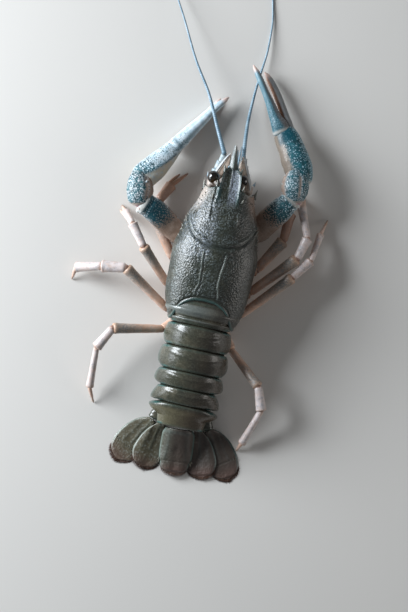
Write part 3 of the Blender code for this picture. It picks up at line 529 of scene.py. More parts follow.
def carapace():
    """The shell's skin with its grooves, ridges and granules, its lining, the face, the beak and the thorns."""
    turns = np.concatenate([SHELL_TURNS, -SHELL_TURNS[-2:0:-1]])
    turn = np.abs(turns)
    rear, groove, front = rear_edge(turn), neck_groove(turn), front_edge(turn)
    behind = np.linspace(0, 1, SHELL_ROWS[0], endpoint=False)[:, None]
    ahead = np.linspace(0, 1, SHELL_ROWS[1])[:, None]
    y = np.concatenate([rear + (groove - rear) * behind, groove + (front - groove) * ahead])
    grid = shell_at(turns[None], y)
    across = grid[..., 0] - midline(y)
    x = np.abs(across)
    upper = 1 - ease(turn, 95, 150)
    off_groove = (y - groove) * np.where(turn < 70, 0.85, 1.0)
    rim = y - rear

    fade = 1 - 0.45 * ease(x, 3, 8) * (1 - ease(turn, 60, 80))
    grooves = -0.4 * ridge(off_groove, 0.45) * upper * fade
    lips = 0.26 * (ridge(off_groove - 1.1, 0.7) + ridge(off_groove + 1.2, 0.8)) * upper
    cheek = turn - 62 + 1.6 * (y - 17)
    grooves = grooves - 0.3 * ridge(cheek / 7, 0.6) * window(off_groove, 1.5, 8.5, 1.5) * (turn > 30)
    areola = window(y, -12.0, 3.5, 1.5) * (turn < 60)
    off_areola = x - areola_edge(y) - 0.18 * wobble(grid, 1.6)
    lines = ridge(off_areola, 0.24) * areola
    lips = lips + 0.26 * lines - 0.16 * ridge(off_areola + 0.7, 0.35) * areola
    border = -0.2 * ridge(rim - CARAPACE_RIM, 0.3) + 0.1 * ridge(rim - 0.7, 0.45) - 0.35 * (1 - ease(rim, 0.0, 0.6))
    trough = -TROUGH * np.clip(1 - (x / 3.75) ** 2, 0, 1) * ease(y, 19.5, 29.5)
    keel = KEEL * ridge(x, 0.35) * ease(y, 26, 30)
    margins = MARGIN * ridge(x - 3.8 - 0.1 * (30 - y), 0.6) * ease(y, 19.5, 28.5)
    brow = (
        0.3 * ridge(x - 5.9 + 0.05 * (y - 24), 0.6) * window(y, 23.4, 30.0, 1.8)
        + 0.35 * ridge(x - 5.6, 0.5) * window(y, 18.0, 20.5, 1.8)
        - 0.08 * ridge(x - 4.9, 0.7) * window(y, 20.0, 31.0, 2.5)
    )
    orbit = 0.35 * ridge(front - y - 0.35, 0.35) * window(turn, 22, 75, 6)
    bulges = 0.35 * wobble(grid, 9.0) * window(rim, 3, 80, 2)

    smooth = np.max([
        1 - ease(rim, 1.5, 2.6), 0.8 * ridge(off_groove, 0.4) * upper, 1 - ease(front - y, 0.2, 1.2),
        0.35 * ease(y, 24, 28) * (x < 4.6), lines,
    ], 0)
    rough = granules(grid, 0.62) * (1 - smooth) * (turn < 178)
    rough = rough * (0.55 + 0.45 * ease(wobble(grid, 4.0), -0.4, 0.2))
    skin = raised(grid, grooves + lips + border + trough + keel + margins + brow + orbit + bulges + 0.18 * rough)

    body = Form(
        # groove: the shell's grooves, which the finish paints darker as shade in them
        skin, caps=(False, False), grain=rough, groove=np.clip(-grooves * 2.0, 0, 1),
        edge=np.maximum(0.8 * ridge(rim - 0.5, 0.5), 0.6 * ridge(front - y, 0.5) * ease(turn, 20, 30)),
        # painted highlight: pale lines along the ridges round the areola and behind the neck groove
        line=lines + 0.5 * ridge(off_groove - 0.8, 0.4) * upper * ease(turn, 20, 40),
        beak=ease(y, 22, 28) * ease(x, 2.5, 3.5) * (1 - ease(x, 4.4, 5.2)),
        cream=ease(turn, 34, 60) * ease(y, 17, 26) + 0.7 * ease(turn, 96, 112),
        # painted sheen: pale lilac along the right slope of the beak's trough, which faces the light from the left
        stripe=window(across, 0.4, 3.1, 0.7) * ease(y, 21.5, 28),
        # painted sheen: a pale lilac patch on the left of the back and head, where light from the left glints on the
        # wet grains
        bloom=window(across, -13.0, -3.5, 3.0) * window(y, 4.0, 22.0, 4.0),
        # warm: rises towards the right; with it the finish paints the shaded right browner and the lit left's grain
        # and cheeks paler
        warm=ease(grid[..., 0], -2.0, 12.0),
    )
    forms = [body, shell_lining(turns, rear, front, skin), face(turns, front), beak(turns, skin[-1])]
    piece("carapace_shell", forms + shell_thorns(), "shell", ["carapace"])


def shell_lining(turns, rear, front, skin):
    """The inside of the shell: it turns in at both rims and runs through behind the head."""
    out = outward(skin)
    deep = [
        skin[0],
        *(shell_at(turns, rear + step, inset) for step, inset in ((0.35, 0.45), (1.2, 1.0), (2.6, 1.4))),
        shell_at(turns, np.maximum(rear + 2.6, -12.3), 1.6),
        shell_at(turns, front - 4.5, 1.9),
        *(skin[-row] - out[-row] * inset for row, inset in ((12, 1.5), (5, 1.0), (1, 0.4))),
        skin[-1],
    ]
    # painted shade: the lining is painted near black inside, fading to none at both rims
    dark = np.array([0, 1, 1, 1, 1, 1, 0.7, 0.5, 0.2, 0])
    return Form(np.stack(deep), caps=(False, False), dark=dark[:, None])


def face(turns, front):
    """The wall of the head under the beak, from which the eye stems and feelers come."""
    grid = np.stack([shell_at(turns, front + step, inset) for step, inset in FACE_STEPS])
    # painted shade: the wall under the beak is darkened a little
    return Form(grid, caps=(False, True), warm=0.4, dark=0.3, cream=0.7, grain=0.3)


def beak(turns, front_row):
    """The rostrum: a grooved blade with raised edges and a keel, slender and plain before its large teeth."""
    y = np.concatenate([(29.0, 29.4, 29.8), np.linspace(BEAK_ROOT, 37, 34), np.linspace(37.15, 39.2, 16),
                        np.linspace(39.5, BEAK_TIP, 30)])
    share = np.sin(np.linspace(-np.pi / 2, np.pi / 2, 41))
    y_grid, s = np.meshgrid(y, share, indexing="ij")
    half = beak_half_width(y_grid)
    x = half * s
    wide = ease(half, 1.7, 2.7)
    top = beak_top(y_grid) - TROUGH * (1 - s**2) * wide + KEEL * ridge(x, 0.26) * (1 - ease(y_grid, 41, 46))
    top = top + MARGIN * ridge((1 - np.abs(s)) * half - 0.2, 0.45) * wide - 0.75 * np.abs(x) * (1 - wide)
    near = np.abs(turns) < 24
    order = np.argsort(front_row[near, 0])
    shell_x, shell_z = front_row[near, 0][order], front_row[near, 2][order]
    root = int(np.searchsorted(y, BEAK_ROOT))
    joined = np.interp(midline(BEAK_ROOT) + x[root], shell_x, shell_z)
    top = top + (joined - top[root]) * (1 - ease(y_grid, BEAK_ROOT, 34))
    top = top + 0.04 - 0.18 * np.clip(BEAK_ROOT - y_grid, 0, 5)
    low = beak_top(y_grid) - TROUGH * wide - beak_depth(y_grid) * (0.35 + 0.65 * (1 - np.abs(s)) ** 0.6)
    upper, under = (np.stack([midline(y_grid) + x, y_grid, z], -1) for z in (top, np.minimum(low, top - 0.15)))
    rough = granules(upper, 0.6) * (np.abs(s) < 0.75) * wide
    upper[..., 2] += 0.1 * rough
    grid = wrapped(upper, under)
    margin = wrapped(ease(np.abs(s), 0.66, 0.86), np.ones_like(s))
    slender = ease(grid[..., 1], 35, 39)
    return Form(
        grid, grain=wrapped(rough, 0 * rough), beak=np.maximum(margin * 0.9, 0.45 * slender),
        # painted sheen down the right slope of the trough, stopping where the beak turns slender
        stripe=window(wrapped(s, 0 * s - 1), 0.02, 0.72, 0.15) * (1 - slender),
        pale=ease(grid[..., 1], 44.5, 47.5) * 0.35, warm=ease(grid[..., 0], -2.0, 12.0),
    )


THORNS_OF_SHELL = (
    # turn, place, length, radius, lean forward
    (88, 29.0, 3.6, 0.8, 5.0),
    (27, 30.2, 2.2, 0.6, 4.0),
    (27, 25.4, 1.6, 0.6, 3.0),
    (68, 14.6, 1.7, 0.55, 1.4),
    (78, 15.6, 1.4, 0.5, 1.4),
    (58, 12.6, 1.0, 0.45, 1.2),
    (70, 11.0, 1.1, 0.45, 1.2),
    (84, 17.2, 1.2, 0.45, 1.3),
    (82, 12.6, 1.1, 0.45, 1.2),
    (92, 14.6, 1.0, 0.45, 1.2),
    (76, 8.6, 0.8, 0.4, 1.2),
)
CHEEK_THORNS = 26
BEAK_TEETH = (
    # place, length, radius
    (33.0, 1.0, 0.4), (35.2, 1.2, 0.45), (36.4, 2.7, 0.8),
)


def shell_thorn(turn, y, lean, length, radius, sides=8):
    """A thorn that stands off the shell and leans forward."""
    root = shell_at(np.array(float(turn)), np.array(y))
    out = unit(root - np.array((midline(y), y, SHELL_CORE)))
    return thorn(root, out + np.array((0, lean, 0)), length, radius, sides)


def shell_thorns():
    """The thorns of both sides: the large ones, a scatter of small ones on the cheeks and the beak's teeth."""
    forms = []
    for sign in (-1, 1):
        for turn, y, length, radius, lean in THORNS_OF_SHELL:
            forms.append(shell_thorn(sign * turn, y, lean, length, radius))
        for _ in range(CHEEK_THORNS):
            turn, y = draw.uniform(52, 94), draw.uniform(9, 27)
            forms.append(shell_thorn(sign * turn, y, 0.7, draw.uniform(0.35, 0.7), 0.3, 6))
        for y, length, radius in BEAK_TEETH:
            root = (midline(y) + sign * (beak_half_width(y) - 0.35), y, beak_top(y) - 0.35)
            forms.append(thorn(root, (sign * 0.3, 1, 0.1), length, radius, pale=0.35, beak=0.5))
    return forms


# The tail: six rings, each with the hollow of the next one's neck behind it.


RINGS = (
    # rear edge, half width of the back, half width over the flaps, crown, flap height, flap place, belly
    (-24.4, 11.6, 11.9, 23.4, 10.4, 0.6, 8.3),
    (-33.4, 12.0, 14.0, 22.6, 7.5, 0.58, 8.1),
    (-42.8, 11.6, 14.1, 21.0, 6.0, 0.62, 7.0),
    (-49.6, 11.0, 13.9, 19.0, 5.0, 0.62, 6.2),
    (-56.0, 10.3, 14.0, 17.0, 4.6, 0.75, 5.8),
    (-65.4, 9.3, 13.4, 12.4, 4.6, 0.2, 5.4),
)
TAIL_FRONT = (-15.1, 11.6, 23.9, 8.3)  # front edge, half width of the back, crown, belly
RING_ROWS = 52
RING_TURNS = np.radians(np.linspace(0, 90, 50))
NECK_SINK = 1.5
RING_SWELL = (0.0, 1.15, 1.15, 1.0, 0.95, 0.5)
FLAP_BEND = (0.4, 0.4, 0.5, 0.8, 1.2, 0.6)
FLAP_POINTS = (0.9, 0.75, 0.75, 0.8, 1.1, 1.1)
BELLY_SHARE = 0.72
PADDLE_LEAST_HEIGHT = 1.2


def ring_outline(half, crown, low, belly, back, bend, powers):
    """Half of a ring's outline, from its crown out over the back to the flap and in to the belly."""
    x = half * np.sin(RING_TURNS) ** powers[0]
    z = low + (crown - low) * np.maximum(np.cos(RING_TURNS), 0) ** powers[1]
    inner = np.linspace(0, 1, 12)[1:]
    inner_x = half - (half - back * BELLY_SHARE) * inner
    inner_z = low - 0.35 * np.sin(np.pi * np.minimum(inner * 3, 1)) + (belly - low) * ease(inner, 0.1, 1)
    end = np.linspace(0, 1, 5)[1:]
    x = np.concatenate([x, inner_x, back * BELLY_SHARE * (1 - end)])
    z = np.concatenate([z, inner_z, belly + 0 * end])
    return x, z, bend * ease(np.abs(x), back * 0.8, half)


def ring_front(index):
    """The place of a ring's front edge, and the half width of its back, its crown and its belly there."""
    if index == 0:
        return TAIL_FRONT
    rear, half_back, _, crown, _, _, belly = RINGS[index - 1]
    return rear, half_back, crown, belly


def ring_swell(index, t):
    """How far a ring's back swells between its creases, at a share t of its length."""
    if index == 0:
        folds = 1.1 * ridge(t - 0.46, 0.15) - 0.45 * ridge(t - 0.735, 0.03) + 0.4 * ridge(t - 0.83, 0.05)
        return np.full(len(RING_TURNS), folds - 0.5 * ease(t, 0.9, 1.0))
    peak = 0.46 - 0.3 * np.sin(RING_TURNS) ** 1.6
    fold = np.sin(np.pi * np.clip(t, 0, 1) ** (np.log(0.5) / np.log(peak)))
    return RING_SWELL[index] * (0.85 * fold + 0.22 * ridge(t - peak, 0.07)) * (1 - 0.65 * np.sin(RING_TURNS) ** 7)


def ring_row(index, t):
    """A closed row of points at a share t of the way from a ring's front edge to its rear one."""
    rear, half_back, half_flap, crown, flap_z, flap_place, belly = RINGS[index]
    front, front_back, front_crown, front_belly = ring_front(index)
    y = front - (front - rear) * t
    share = np.clip(t, 0, 1)
    swell = ring_swell(index, t)
    behind = 0.4 if index + 1 == len(RINGS) else 1.02 - flap_place
    near = np.clip(1 - abs(t - flap_place) / (flap_place if t < flap_place else behind), 0, 1)
    lobe = np.sin(np.pi / 2 * near) ** FLAP_POINTS[index]
    under = front_belly + (belly - front_belly) * ease(t, 0, 0.4)
    if index == 0:
        half = shell_half_width(y) - 0.7 + swell[-1]
        top, low = shell_top(y) - 0.7 + swell, shell_waist(y) - 0.2
        x, z, swept = ring_outline(half, top, low, under, 11.0, 0.0, (ROUNDNESS, ROUNDNESS))
    else:
        sunk = NECK_SINK * (1 - ease(t, -0.04, 0.11)) + (0.4 if t < -0.05 else 0.0)
        lift = swell - sunk - 0.25 * ease(t, 0.94, 1.0)
        back = front_back + (half_back - front_back) * share + lift[-1] * 0.8
        half = back + max(half_flap - half_back - 0.4, 0.0) * lobe * ease(t, 0.0, 0.06)
        top = front_crown + (crown - front_crown) * share + lift
        low = under + 1.2 + (flap_z - under - 1.2) * lobe
        x, z, swept = ring_outline(half, top, low, under, back, FLAP_BEND[index] * lobe, (0.95, 0.84))
    right, left = (np.stack([midline(y) + side * x, y - swept, z], -1) for side in (1, -1))
    return np.concatenate([right, left[-2:0:-1]])


def tail_ring(index):
    """A ring with its grain and flaps, the hollow behind it and its paddles beneath."""
    front, rear, belly = ring_front(index)[0], RINGS[index][0], RINGS[index][-1]
    last = index + 1 == len(RINGS)
    share = np.concatenate([[-0.22, -0.1], np.linspace(-0.02, 1.0, RING_ROWS)])
    grid = np.stack([ring_row(index, t) for t in share])
    share = share[:, None]
    count = grid.shape[1] // 2 + 1
    column = np.concatenate([np.arange(count), np.arange(count - 2, 0, -1)])[None]
    outer = (column < len(RING_TURNS) + 3) * 1.0
    wrinkle = wobble(grid * np.array((1, 2.4, 1)), 2.6) * outer
    relief = (-0.05 * granules(grid, 0.7) * outer + 0.05 * wrinkle) * window(share, 0.12, 0.92, 0.08)
    skin = raised(grid, relief)
    forms = [
        Form(
            # warm: rises towards the right; with it the finish paints the lit left paler and the shaded right browner
            # and darker
            skin, caps=(True, False), flap=ease(column, 34, 47) * outer, warm=ease(grid[..., 0], -6.0, 9.0),
            edge=(ridge(share - 0.95, 0.05) + ridge(share - 0.1, 0.05)) * outer
            * (0.2 + 0.8 * window(column, 30, 38, 6)),
            # painted highlight: pale bands on the first ring's crest and rear fold, fading to the right away from the
            # light
            band=(window(share, 0.25, 0.6, 0.1) + ridge(share - 0.83, 0.04)) * (index == 0) * outer
            * (1 - 0.8 * ease(grid[..., 0], -5, 9)),
            tan=window(share, 0.3, 1.0, 0.12) * last * outer,
            # painted shade: the neck tucked under the ring before and the rear rim, darkened as creases
            crease=np.maximum(1 - ease(share, 0.0, 0.09), ease(share, 0.965, 1.0)) * outer,
        ),
        ring_lining(skin, last),
    ]
    if 1 <= index <= 4:
        forms += swimmerets(rear + (front - rear) * 0.45, belly)
    piece(f"tail_ring_{index + 1}", forms, "tail", [f"abdomen_{index + 1}"])


def ring_lining(skin, last):
    """The hollow behind a ring, into which the next ring's neck reaches."""
    depth = 0.8 if last else 1.7
    inner = skin[-1] + (skin[-1].mean(0) - skin[-1]) * np.array((0.09, 0, 0.12))
    inner = inner + np.array((0, -0.02, 0))
    deep = inner + np.array((0, depth, 0))
    # painted shade: the hollow is painted dark, the last one less and tan
    return Form(np.stack([skin[-1], inner, deep]), caps=(False, True), dark=0.6 if last else 1.0, tan=1.0 * last)


def swimmerets(y, belly):
    """The pairs of small paddles under a tail ring."""
    forms = []
    for sign in (-1, 1):
        root = np.array((midline(y) + sign * 5.0, y, belly + 0.9))
        for spread, reach in ((-0.6, 2.0), (0.9, 2.8)):
            tip = np.array((root[0] + sign * spread, y - reach, max(PADDLE_LEAST_HEIGHT, belly - 5.0)))
            line = path([root, (root + tip) / 2 + np.array((0, -0.4, 0)), tip], 14)
            t = np.linspace(0, 1, 14)
            girth = capped(t, 0.1, 0.25) + 0.02
            grid, _ = sweep(line, girth * (0.5 + 0.5 * t), girth * 0.32, 12)
            forms.append(Form(grid, limb=1.0, pale=0.5))
    return forms


# The tail fan.


TELSON_ROOT = np.array((0.9, -66.1, 0.0))
TELSON_HEADING = 176.0
TELSON_LENGTH = 18.0
BLADE_LENGTHS = {"exopod": 21.2, "endopod": 18.8}
telson_reach = curve(
    (0, 5.4), (2.5, 6.5), (9.5, 6.7), (13.2, 6.4), (13.9, 5.9), (15.4, 5.6), (16.9, 4.4), (17.7, 2.8), (18.0, 1.0)
)
telson_top = curve((0, 11.7), (5, 8.2), (10, 5.2), (14, 3.7), (18, 2.7))
telson_under = curve((0, 5.8), (5, 3.7), (9, 2.0), (18, 1.5))
exopod_outer = curve((0, 1.6), (2, 3.6), (5.2, 5.5), (9, 6.6), (12.9, 6.9), (17.7, 5.9), (20.0, 4.0), (21.2, 1.0))
exopod_inner = curve((0, 1.8), (4, 2.2), (10, 4.2), (14, 5.4), (17.6, 5.2), (19.8, 2.8), (21.2, 0.2))
endopod_outer = curve((0, 1.3), (3, 3.3), (8, 5.4), (13, 6.2), (16.2, 5.3), (18.0, 3.5), (18.8, 1.0))
endopod_inner = curve((0, 2.2), (3, 4.2), (8, 6.4), (12, 6.8), (15.5, 6.0), (17.6, 4.0), (18.8, 0.8))
BLADES = {
    # root, heading
    ("exopod", "left"): (np.array((-10.3, -65.0, 0.0)), 210.2),
    ("exopod", "right"): (np.array((12.4, -64.4, 0.0)), 146.6),
    ("endopod", "left"): (np.array((-6.9, -65.6, 0.0)), 191.0),
    ("endopod", "right"): (np.array((8.7, -65.2, 0.0)), 164.5),
}
BLADE_THICKNESS = 0.9
FRINGE_RADIUS = 0.045
# the row of the blade from which the bristles stand, their length and their count
TELSON_FRINGE = (50, 2.3, 420)
BLADE_FRINGE = (46, 2.2, 460)


def blade_form(root, degrees, length, reach_right, reach_left, under, over, relief, seam):
    """A thin blade: its upper face carries ribs and grain, and its rear edge thins out."""
    forward = way(degrees)
    right = np.cross(forward, UP)
    s = length * np.sin(np.linspace(0, np.pi / 2, 72)) ** 1.12
    share = np.sin(np.linspace(-np.pi / 2, np.pi / 2, 61))
    s_grid, across = np.meshgrid(s, share, indexing="ij")
    off = np.where(across > 0, across * reach_right(s_grid), across * reach_left(s_grid))
    low, high, ribs = under(s_grid, off), over(s_grid, off), relief(s_grid, off, across)
    rim = np.clip(1 - np.abs(across) ** 8, 0, 1) * np.clip((length - s_grid) / 1.2, 0.25, 1)
    high = low + (high - low) * (0.25 + 0.75 * rim) + ribs * rim
    base = root + forward * s_grid[..., None] + right * off[..., None]
    grain = granules(base, 0.8)
    high = high + (0.1 * grain + 0.14 * wobble(base, 3.0)) * rim
    top = base + UP * high[..., None]
    grid = wrapped(top, base + UP * low[..., None])
    marks = {
        "rear": ease(s_grid, seam, length),
        "rib": np.clip(ribs * 2.2, 0, 1),
        "edge": ease(np.abs(across), 0.86, 0.99),
        "grain": grain,
    }
    marks = {name: wrapped(mark, mark) for name, mark in marks.items()}
    # warm: rises towards the right; with it the finish paints the left blades golden as lit and the right ones darker
    # as shaded
    return Form(grid, fan=1.0, warm=ease(grid[..., 0], -9.0, 3.0), **marks), top, right, forward


def fringe(top, forward, first_row, length, count):
    """The bristles along a blade's rear edge, each pointing out from the blade's middle."""
    outline = np.concatenate([top[first_row:, 0], top[-1, 1:-1], top[first_row:, -1][::-1]])
    steps = run_lengths(outline)
    places = np.linspace(0, steps[-1], count)
    roots = np.stack([np.interp(places, steps, column) for column in outline.T], -1)
    out = unit(np.cross(unit(np.gradient(roots, axis=0)), UP))
    middle = top[first_row // 2 + 20, top.shape[1] // 2]
    out = out * np.sign((out * (roots - middle)).sum(-1, keepdims=True))
    ways, lengths = [], []
    for i in range(count):
        stray = np.array((draw.gauss(0, 0.12), draw.gauss(0, 0.12), draw.gauss(-0.05, 0.05)))
        ways.append(forward * 0.6 + out[i] + stray)
        edge = math.sin(math.pi * (i + 0.5) / count) ** 0.4
        lengths.append(length * edge * draw.uniform(0.75, 1.1))
    return hairs(roots - out * 0.3 - UP * 0.12, ways, lengths, FRINGE_RADIUS, bend=(0, 0, -0.12))


def telson():
    """The middle plate of the fan, with two thorns on each side. It gives its fringe."""
    def under(s, off):
        return telson_under(s) + 0 * off

    def over(s, off):
        arch = telson_top(s) - telson_under(s) - BLADE_THICKNESS
        return telson_top(s) - arch * np.clip(np.abs(off) / 7.2, 0, 1) ** 2.4

    def relief(s, off, across):
        ribs = 0.12 * ridge(np.abs(off) - 3.4 - 0.06 * s, 0.7) * window(s, 2.5, 12, 2)
        seam = -0.2 * ridge(s - 13.4, 0.3)
        middle = -0.2 * ridge(off, 1.2) * window(s, 7, 16.5, 2)
        front = 0.25 * ridge(s - 1.3, 0.7)
        return ribs + seam + middle + front

    form, top, right, forward = blade_form(
        TELSON_ROOT, TELSON_HEADING, TELSON_LENGTH, telson_reach, telson_reach, under, over, relief, 13.0
    )
    forms = [form]
    for side in (-1, 1):
        for step, lean in ((0.0, 0.35), (0.55, 0.9)):
            at = TELSON_ROOT + forward * (13.2 - step) + right * side * (6.1 + step * 0.5) + UP * 2.3
            forms.append(thorn(at, forward + right * side * lean, 1.5 - step, 0.3))
    piece("telson_plate", forms, "tail", ["telson"])
    return fringe(top, forward, *TELSON_FRINGE)


def blade(kind, side):
    """One of the fan's side blades. It gives its fringe."""
    root, degrees = BLADES[kind, side]
    length = BLADE_LENGTHS[kind]
    outermost, sign = kind == "exopod", -SIDES[side]
    outer, inner = (exopod_outer, exopod_inner) if outermost else (endopod_outer, endopod_inner)
    reach_right, reach_left = (outer, inner) if side == "left" else (inner, outer)

    def under(s, off):
        tilt = 0.0 * off if outermost else 1.3 * ease(off * sign, -3.0, 4.5)
        return tilt * ease(s, 0.0, 4.0) + 1.0 * (1 - ease(s, 0, 5))

    def over(s, off):
        return under(s, off) + BLADE_THICKNESS + 1.3 * (1 - ease(s, 0, 4))

    def relief(s, off, across):
        rib = 0.2 * ridge(off, 0.6) * (1 - ease(s, length * 0.5, length * 0.7))
        second = 0.1 * ridge(off * sign - 2.6 - 0.05 * s, 0.6) * window(s, 3, length * 0.62, 2)
        outer_rim = 0.14 * ridge(across * sign - 0.93, 0.06)
        rays = 0.04 * np.cos(across * 44) * ease(s, length * 0.66, length * 0.8)
        seam = -0.2 * outermost * ridge(s - length * 0.69 - 0.02 * off, 0.28)
        return rib + second + outer_rim + rays + seam

    form, top, right, forward = blade_form(
        root, degrees, length, reach_right, reach_left, under, over, relief, length * 0.66
    )
    forms = [form]
    if outermost:
        for share in np.linspace(-0.92, 0.92, 13):
            reach = outer(14.6) if share * sign > 0 else inner(14.6)
            at = root + forward * length * 0.685 + right * share * reach * 0.97 + UP * 0.75
            forms.append(thorn(at, forward + UP * 0.1, 0.75, 0.22, 6))
    piece(f"tail_fan_{'outer' if outermost else 'inner'}_{side}", forms, "tail", [f"uropod_{side}_{kind}"])
    return fringe(top, forward, *BLADE_FRINGE)


def protopod(side):
    """The knuckle that carries the two outer blades of one side."""
    sign = SIDES[side]
    middle = (BLADES["exopod", side][0] + BLADES["endopod", side][0]) / 2
    line = path([(middle[0] - sign * 1.2, -59.4, 2.6), (middle[0] - sign * 0.6, -61.4, 2.5),
                 (middle[0], -64.9, 2.1)], 26)
    t = np.linspace(0, 1, 26)
    wide = (2.2 + 1.3 * ease(t, 0, 0.6)) * capped(t, 0.25, 0.18)
    deep = 1.8 * capped(t, 0.25, 0.3)
    grid, _ = sweep(line, wide + 0.05, deep + 0.05, 28, 0.85)
    grid = raised(grid, 0.25 * ridge(t - 0.82, 0.1)[:, None] + 0.08 * wobble(grid, 1.6))
    forms = [Form(grid, edge=ease(t, 0.8, 1)[:, None])]
    for share in (-0.5, 0.1, 0.7):
        at = np.array((middle[0] + share * 2.8, -64.6, 3.4))
        forms.append(thorn(at, (share * 0.4, -1, 0.1), 1.0, 0.32))
    piece(f"tail_fan_knuckle_{side}", forms, "tail", [f"uropod_{side}_protopod"])


# Limbs.


def joints_of(kind, side, segments):
    """The joints of a limb, from its hip outward."""
    points = [np.array((SIDES[side] * HIP_X, HIPS[kind], HIP_HEIGHTS[kind]), float)]
    for length, degrees, pitch, *_ in segments:
        points.append(points[-1] + way(degrees, pitch, SIDES[side]) * length)
    return points


# how far a hard length reaches behind its first joint and past its last, in half widths
SEGMENT_BACK = 0.3
SEGMENT_PAST = 0.15


def segment(start, end, half_width, half_depth, shape, count=34, sides=26, square=1.0, relief=None, **marks):
    """One hard length of a limb between two joints, round at both ends. Its marks may be functions of the share
    along it, and its relief one of that share, of how far up a point lies round it and of its points."""
    along = unit(end - start)
    a = start - along * half_width * SEGMENT_BACK
    b = end + along * half_width * SEGMENT_PAST
    t = np.linspace(0, 1, count)
    length = np.linalg.norm(b - a)
    girth = shape(t) * capped(t, min(half_width * 0.8 / length, 0.3), min(half_width * 0.45 / length, 0.25))
    line = straight(a, b, count)
    grid, angle = sweep(line, half_width * girth + 0.03, half_depth * girth + 0.03, sides, square)
    t, up = t[:, None], np.sin(angle)[None]
    if relief:
        grid = raised(grid, relief(t, up, grid))
    marks = {name: mark(t) if callable(mark) else mark for name, mark in marks.items()}
    return Form(grid, up=up, **marks)


def membrane(centre, radius):
    """The soft skin that shows inside a joint."""
    return knob(centre, radius, 1.0, 18, skin=1.0)


LEG_GIRTH = 1.2
limb_shape = curve((0, 0.74), (0.15, 0.84), (0.5, 0.93), (0.82, 1.04), (0.94, 1.12), (1.0, 0.96))
palm_shape = curve((0, 0.6), (0.14, 0.9), (0.4, 1.02), (0.75, 1.0), (1.0, 0.86))
toe_shape = curve((0, 0.9), (0.2, 0.86), (0.6, 0.6), (0.9, 0.3), (1.0, 0.12))

LEGS = {
    # length, heading, pitch and half width of each of the three lengths of the upper and the lower piece
    ("leg_1", "left"): (
        ((3.6, 90, 0, 2.0), (6.2, 97, -6, 2.0), (19.1, 35.1, 1.5, 1.7)),
        ((5.7, -12, -2, 1.7), (8.0, -26, -10, 1.8), (8.3, -43, -20, 0.95)),
    ),
    ("leg_2", "left"): (
        ((3.6, 90, 0, 1.9), (6.0, 107, 12, 1.9), (19.5, 44.5, 28, 1.6)),
        ((10.2, 38, -9.6, 1.5), (10.5, 43.6, -55.7, 1.3), (4.5, 42, -57, 0.85)),
    ),
    ("leg_3", "left"): (
        ((3.0, 90, 0, 1.7), (5.6, 130, 7, 1.8), (24.0, 57, 19.2, 1.65)),
        ((9.8, 97.8, -10.6, 1.9), (12.0, 103.6, -28.3, 1.6), (6.6, 169.8, -38.9, 0.8)),
    ),
    ("leg_4", "left"): (
        ((2.6, 90, 0, 1.5), (7.0, 143, 14, 1.6), (21.6, 101.4, 21.9, 1.6)),
        ((9.9, 152.1, -5.8, 1.6), (17.8, 181, -23.1, 1.15), (7.9, 204.1, -35.9, 0.7)),
    ),
    ("leg_1", "right"): (
        ((3.6, 90, 0, 2.0), (7.3, 78, 6.3, 2.0), (15.8, 30.2, 11.0, 1.9)),
        ((11.4, 3, -9.9, 1.7), (7.1, -27, -19.7, 1.7), (5.6, -31, -25, 0.9)),
    ),
    ("leg_2", "right"): (
        ((3.6, 90, 0, 1.9), (6.8, 73, 8.7, 1.9), (23.8, 42, 18.6, 1.75)),
        ((9.0, 15.6, -7.7, 1.6), (15.0, -21, -27.8, 1.35), (5.6, -8, -38, 0.8)),
    ),
    ("leg_3", "right"): (
        ((3.0, 90, 0, 1.7), (5.2, 90, 10.6, 1.8), (26.6, 41.7, 17.1, 1.65)),
        ((9.6, 36, -6, 1.45), (13.1, 9.4, -27.2, 1.1), (8.3, 15.7, -34.7, 0.65)),
    ),
    ("leg_4", "right"): (
        ((2.6, 90, 0, 1.5), (9.2, 149, 10.7, 1.6), (19.5, 131.2, 21.6, 1.5)),
        ((9.6, 160.4, -6, 1.6), (17.1, 197.2, -24.2, 1.2), (5.2, 202.8, -47, 0.7)),
    ),
}
HIP_X = 6.8
HIPS = {"cheliped": 9.0, "leg_1": 0.6, "leg_2": -9.2, "leg_3": -17.0, "leg_4": -23.2}
HIP_HEIGHTS = {"cheliped": 3.5, "leg_1": 3.4, "leg_2": 3.4, "leg_3": 3.2, "leg_4": 3.0}
UPPER_END, TOE = 2, 5
TOE_REST = 0.25
STEEPEST_TOE = 0.98
LEG_BRISTLES = {3: 26, 4: 60, 5: 44}


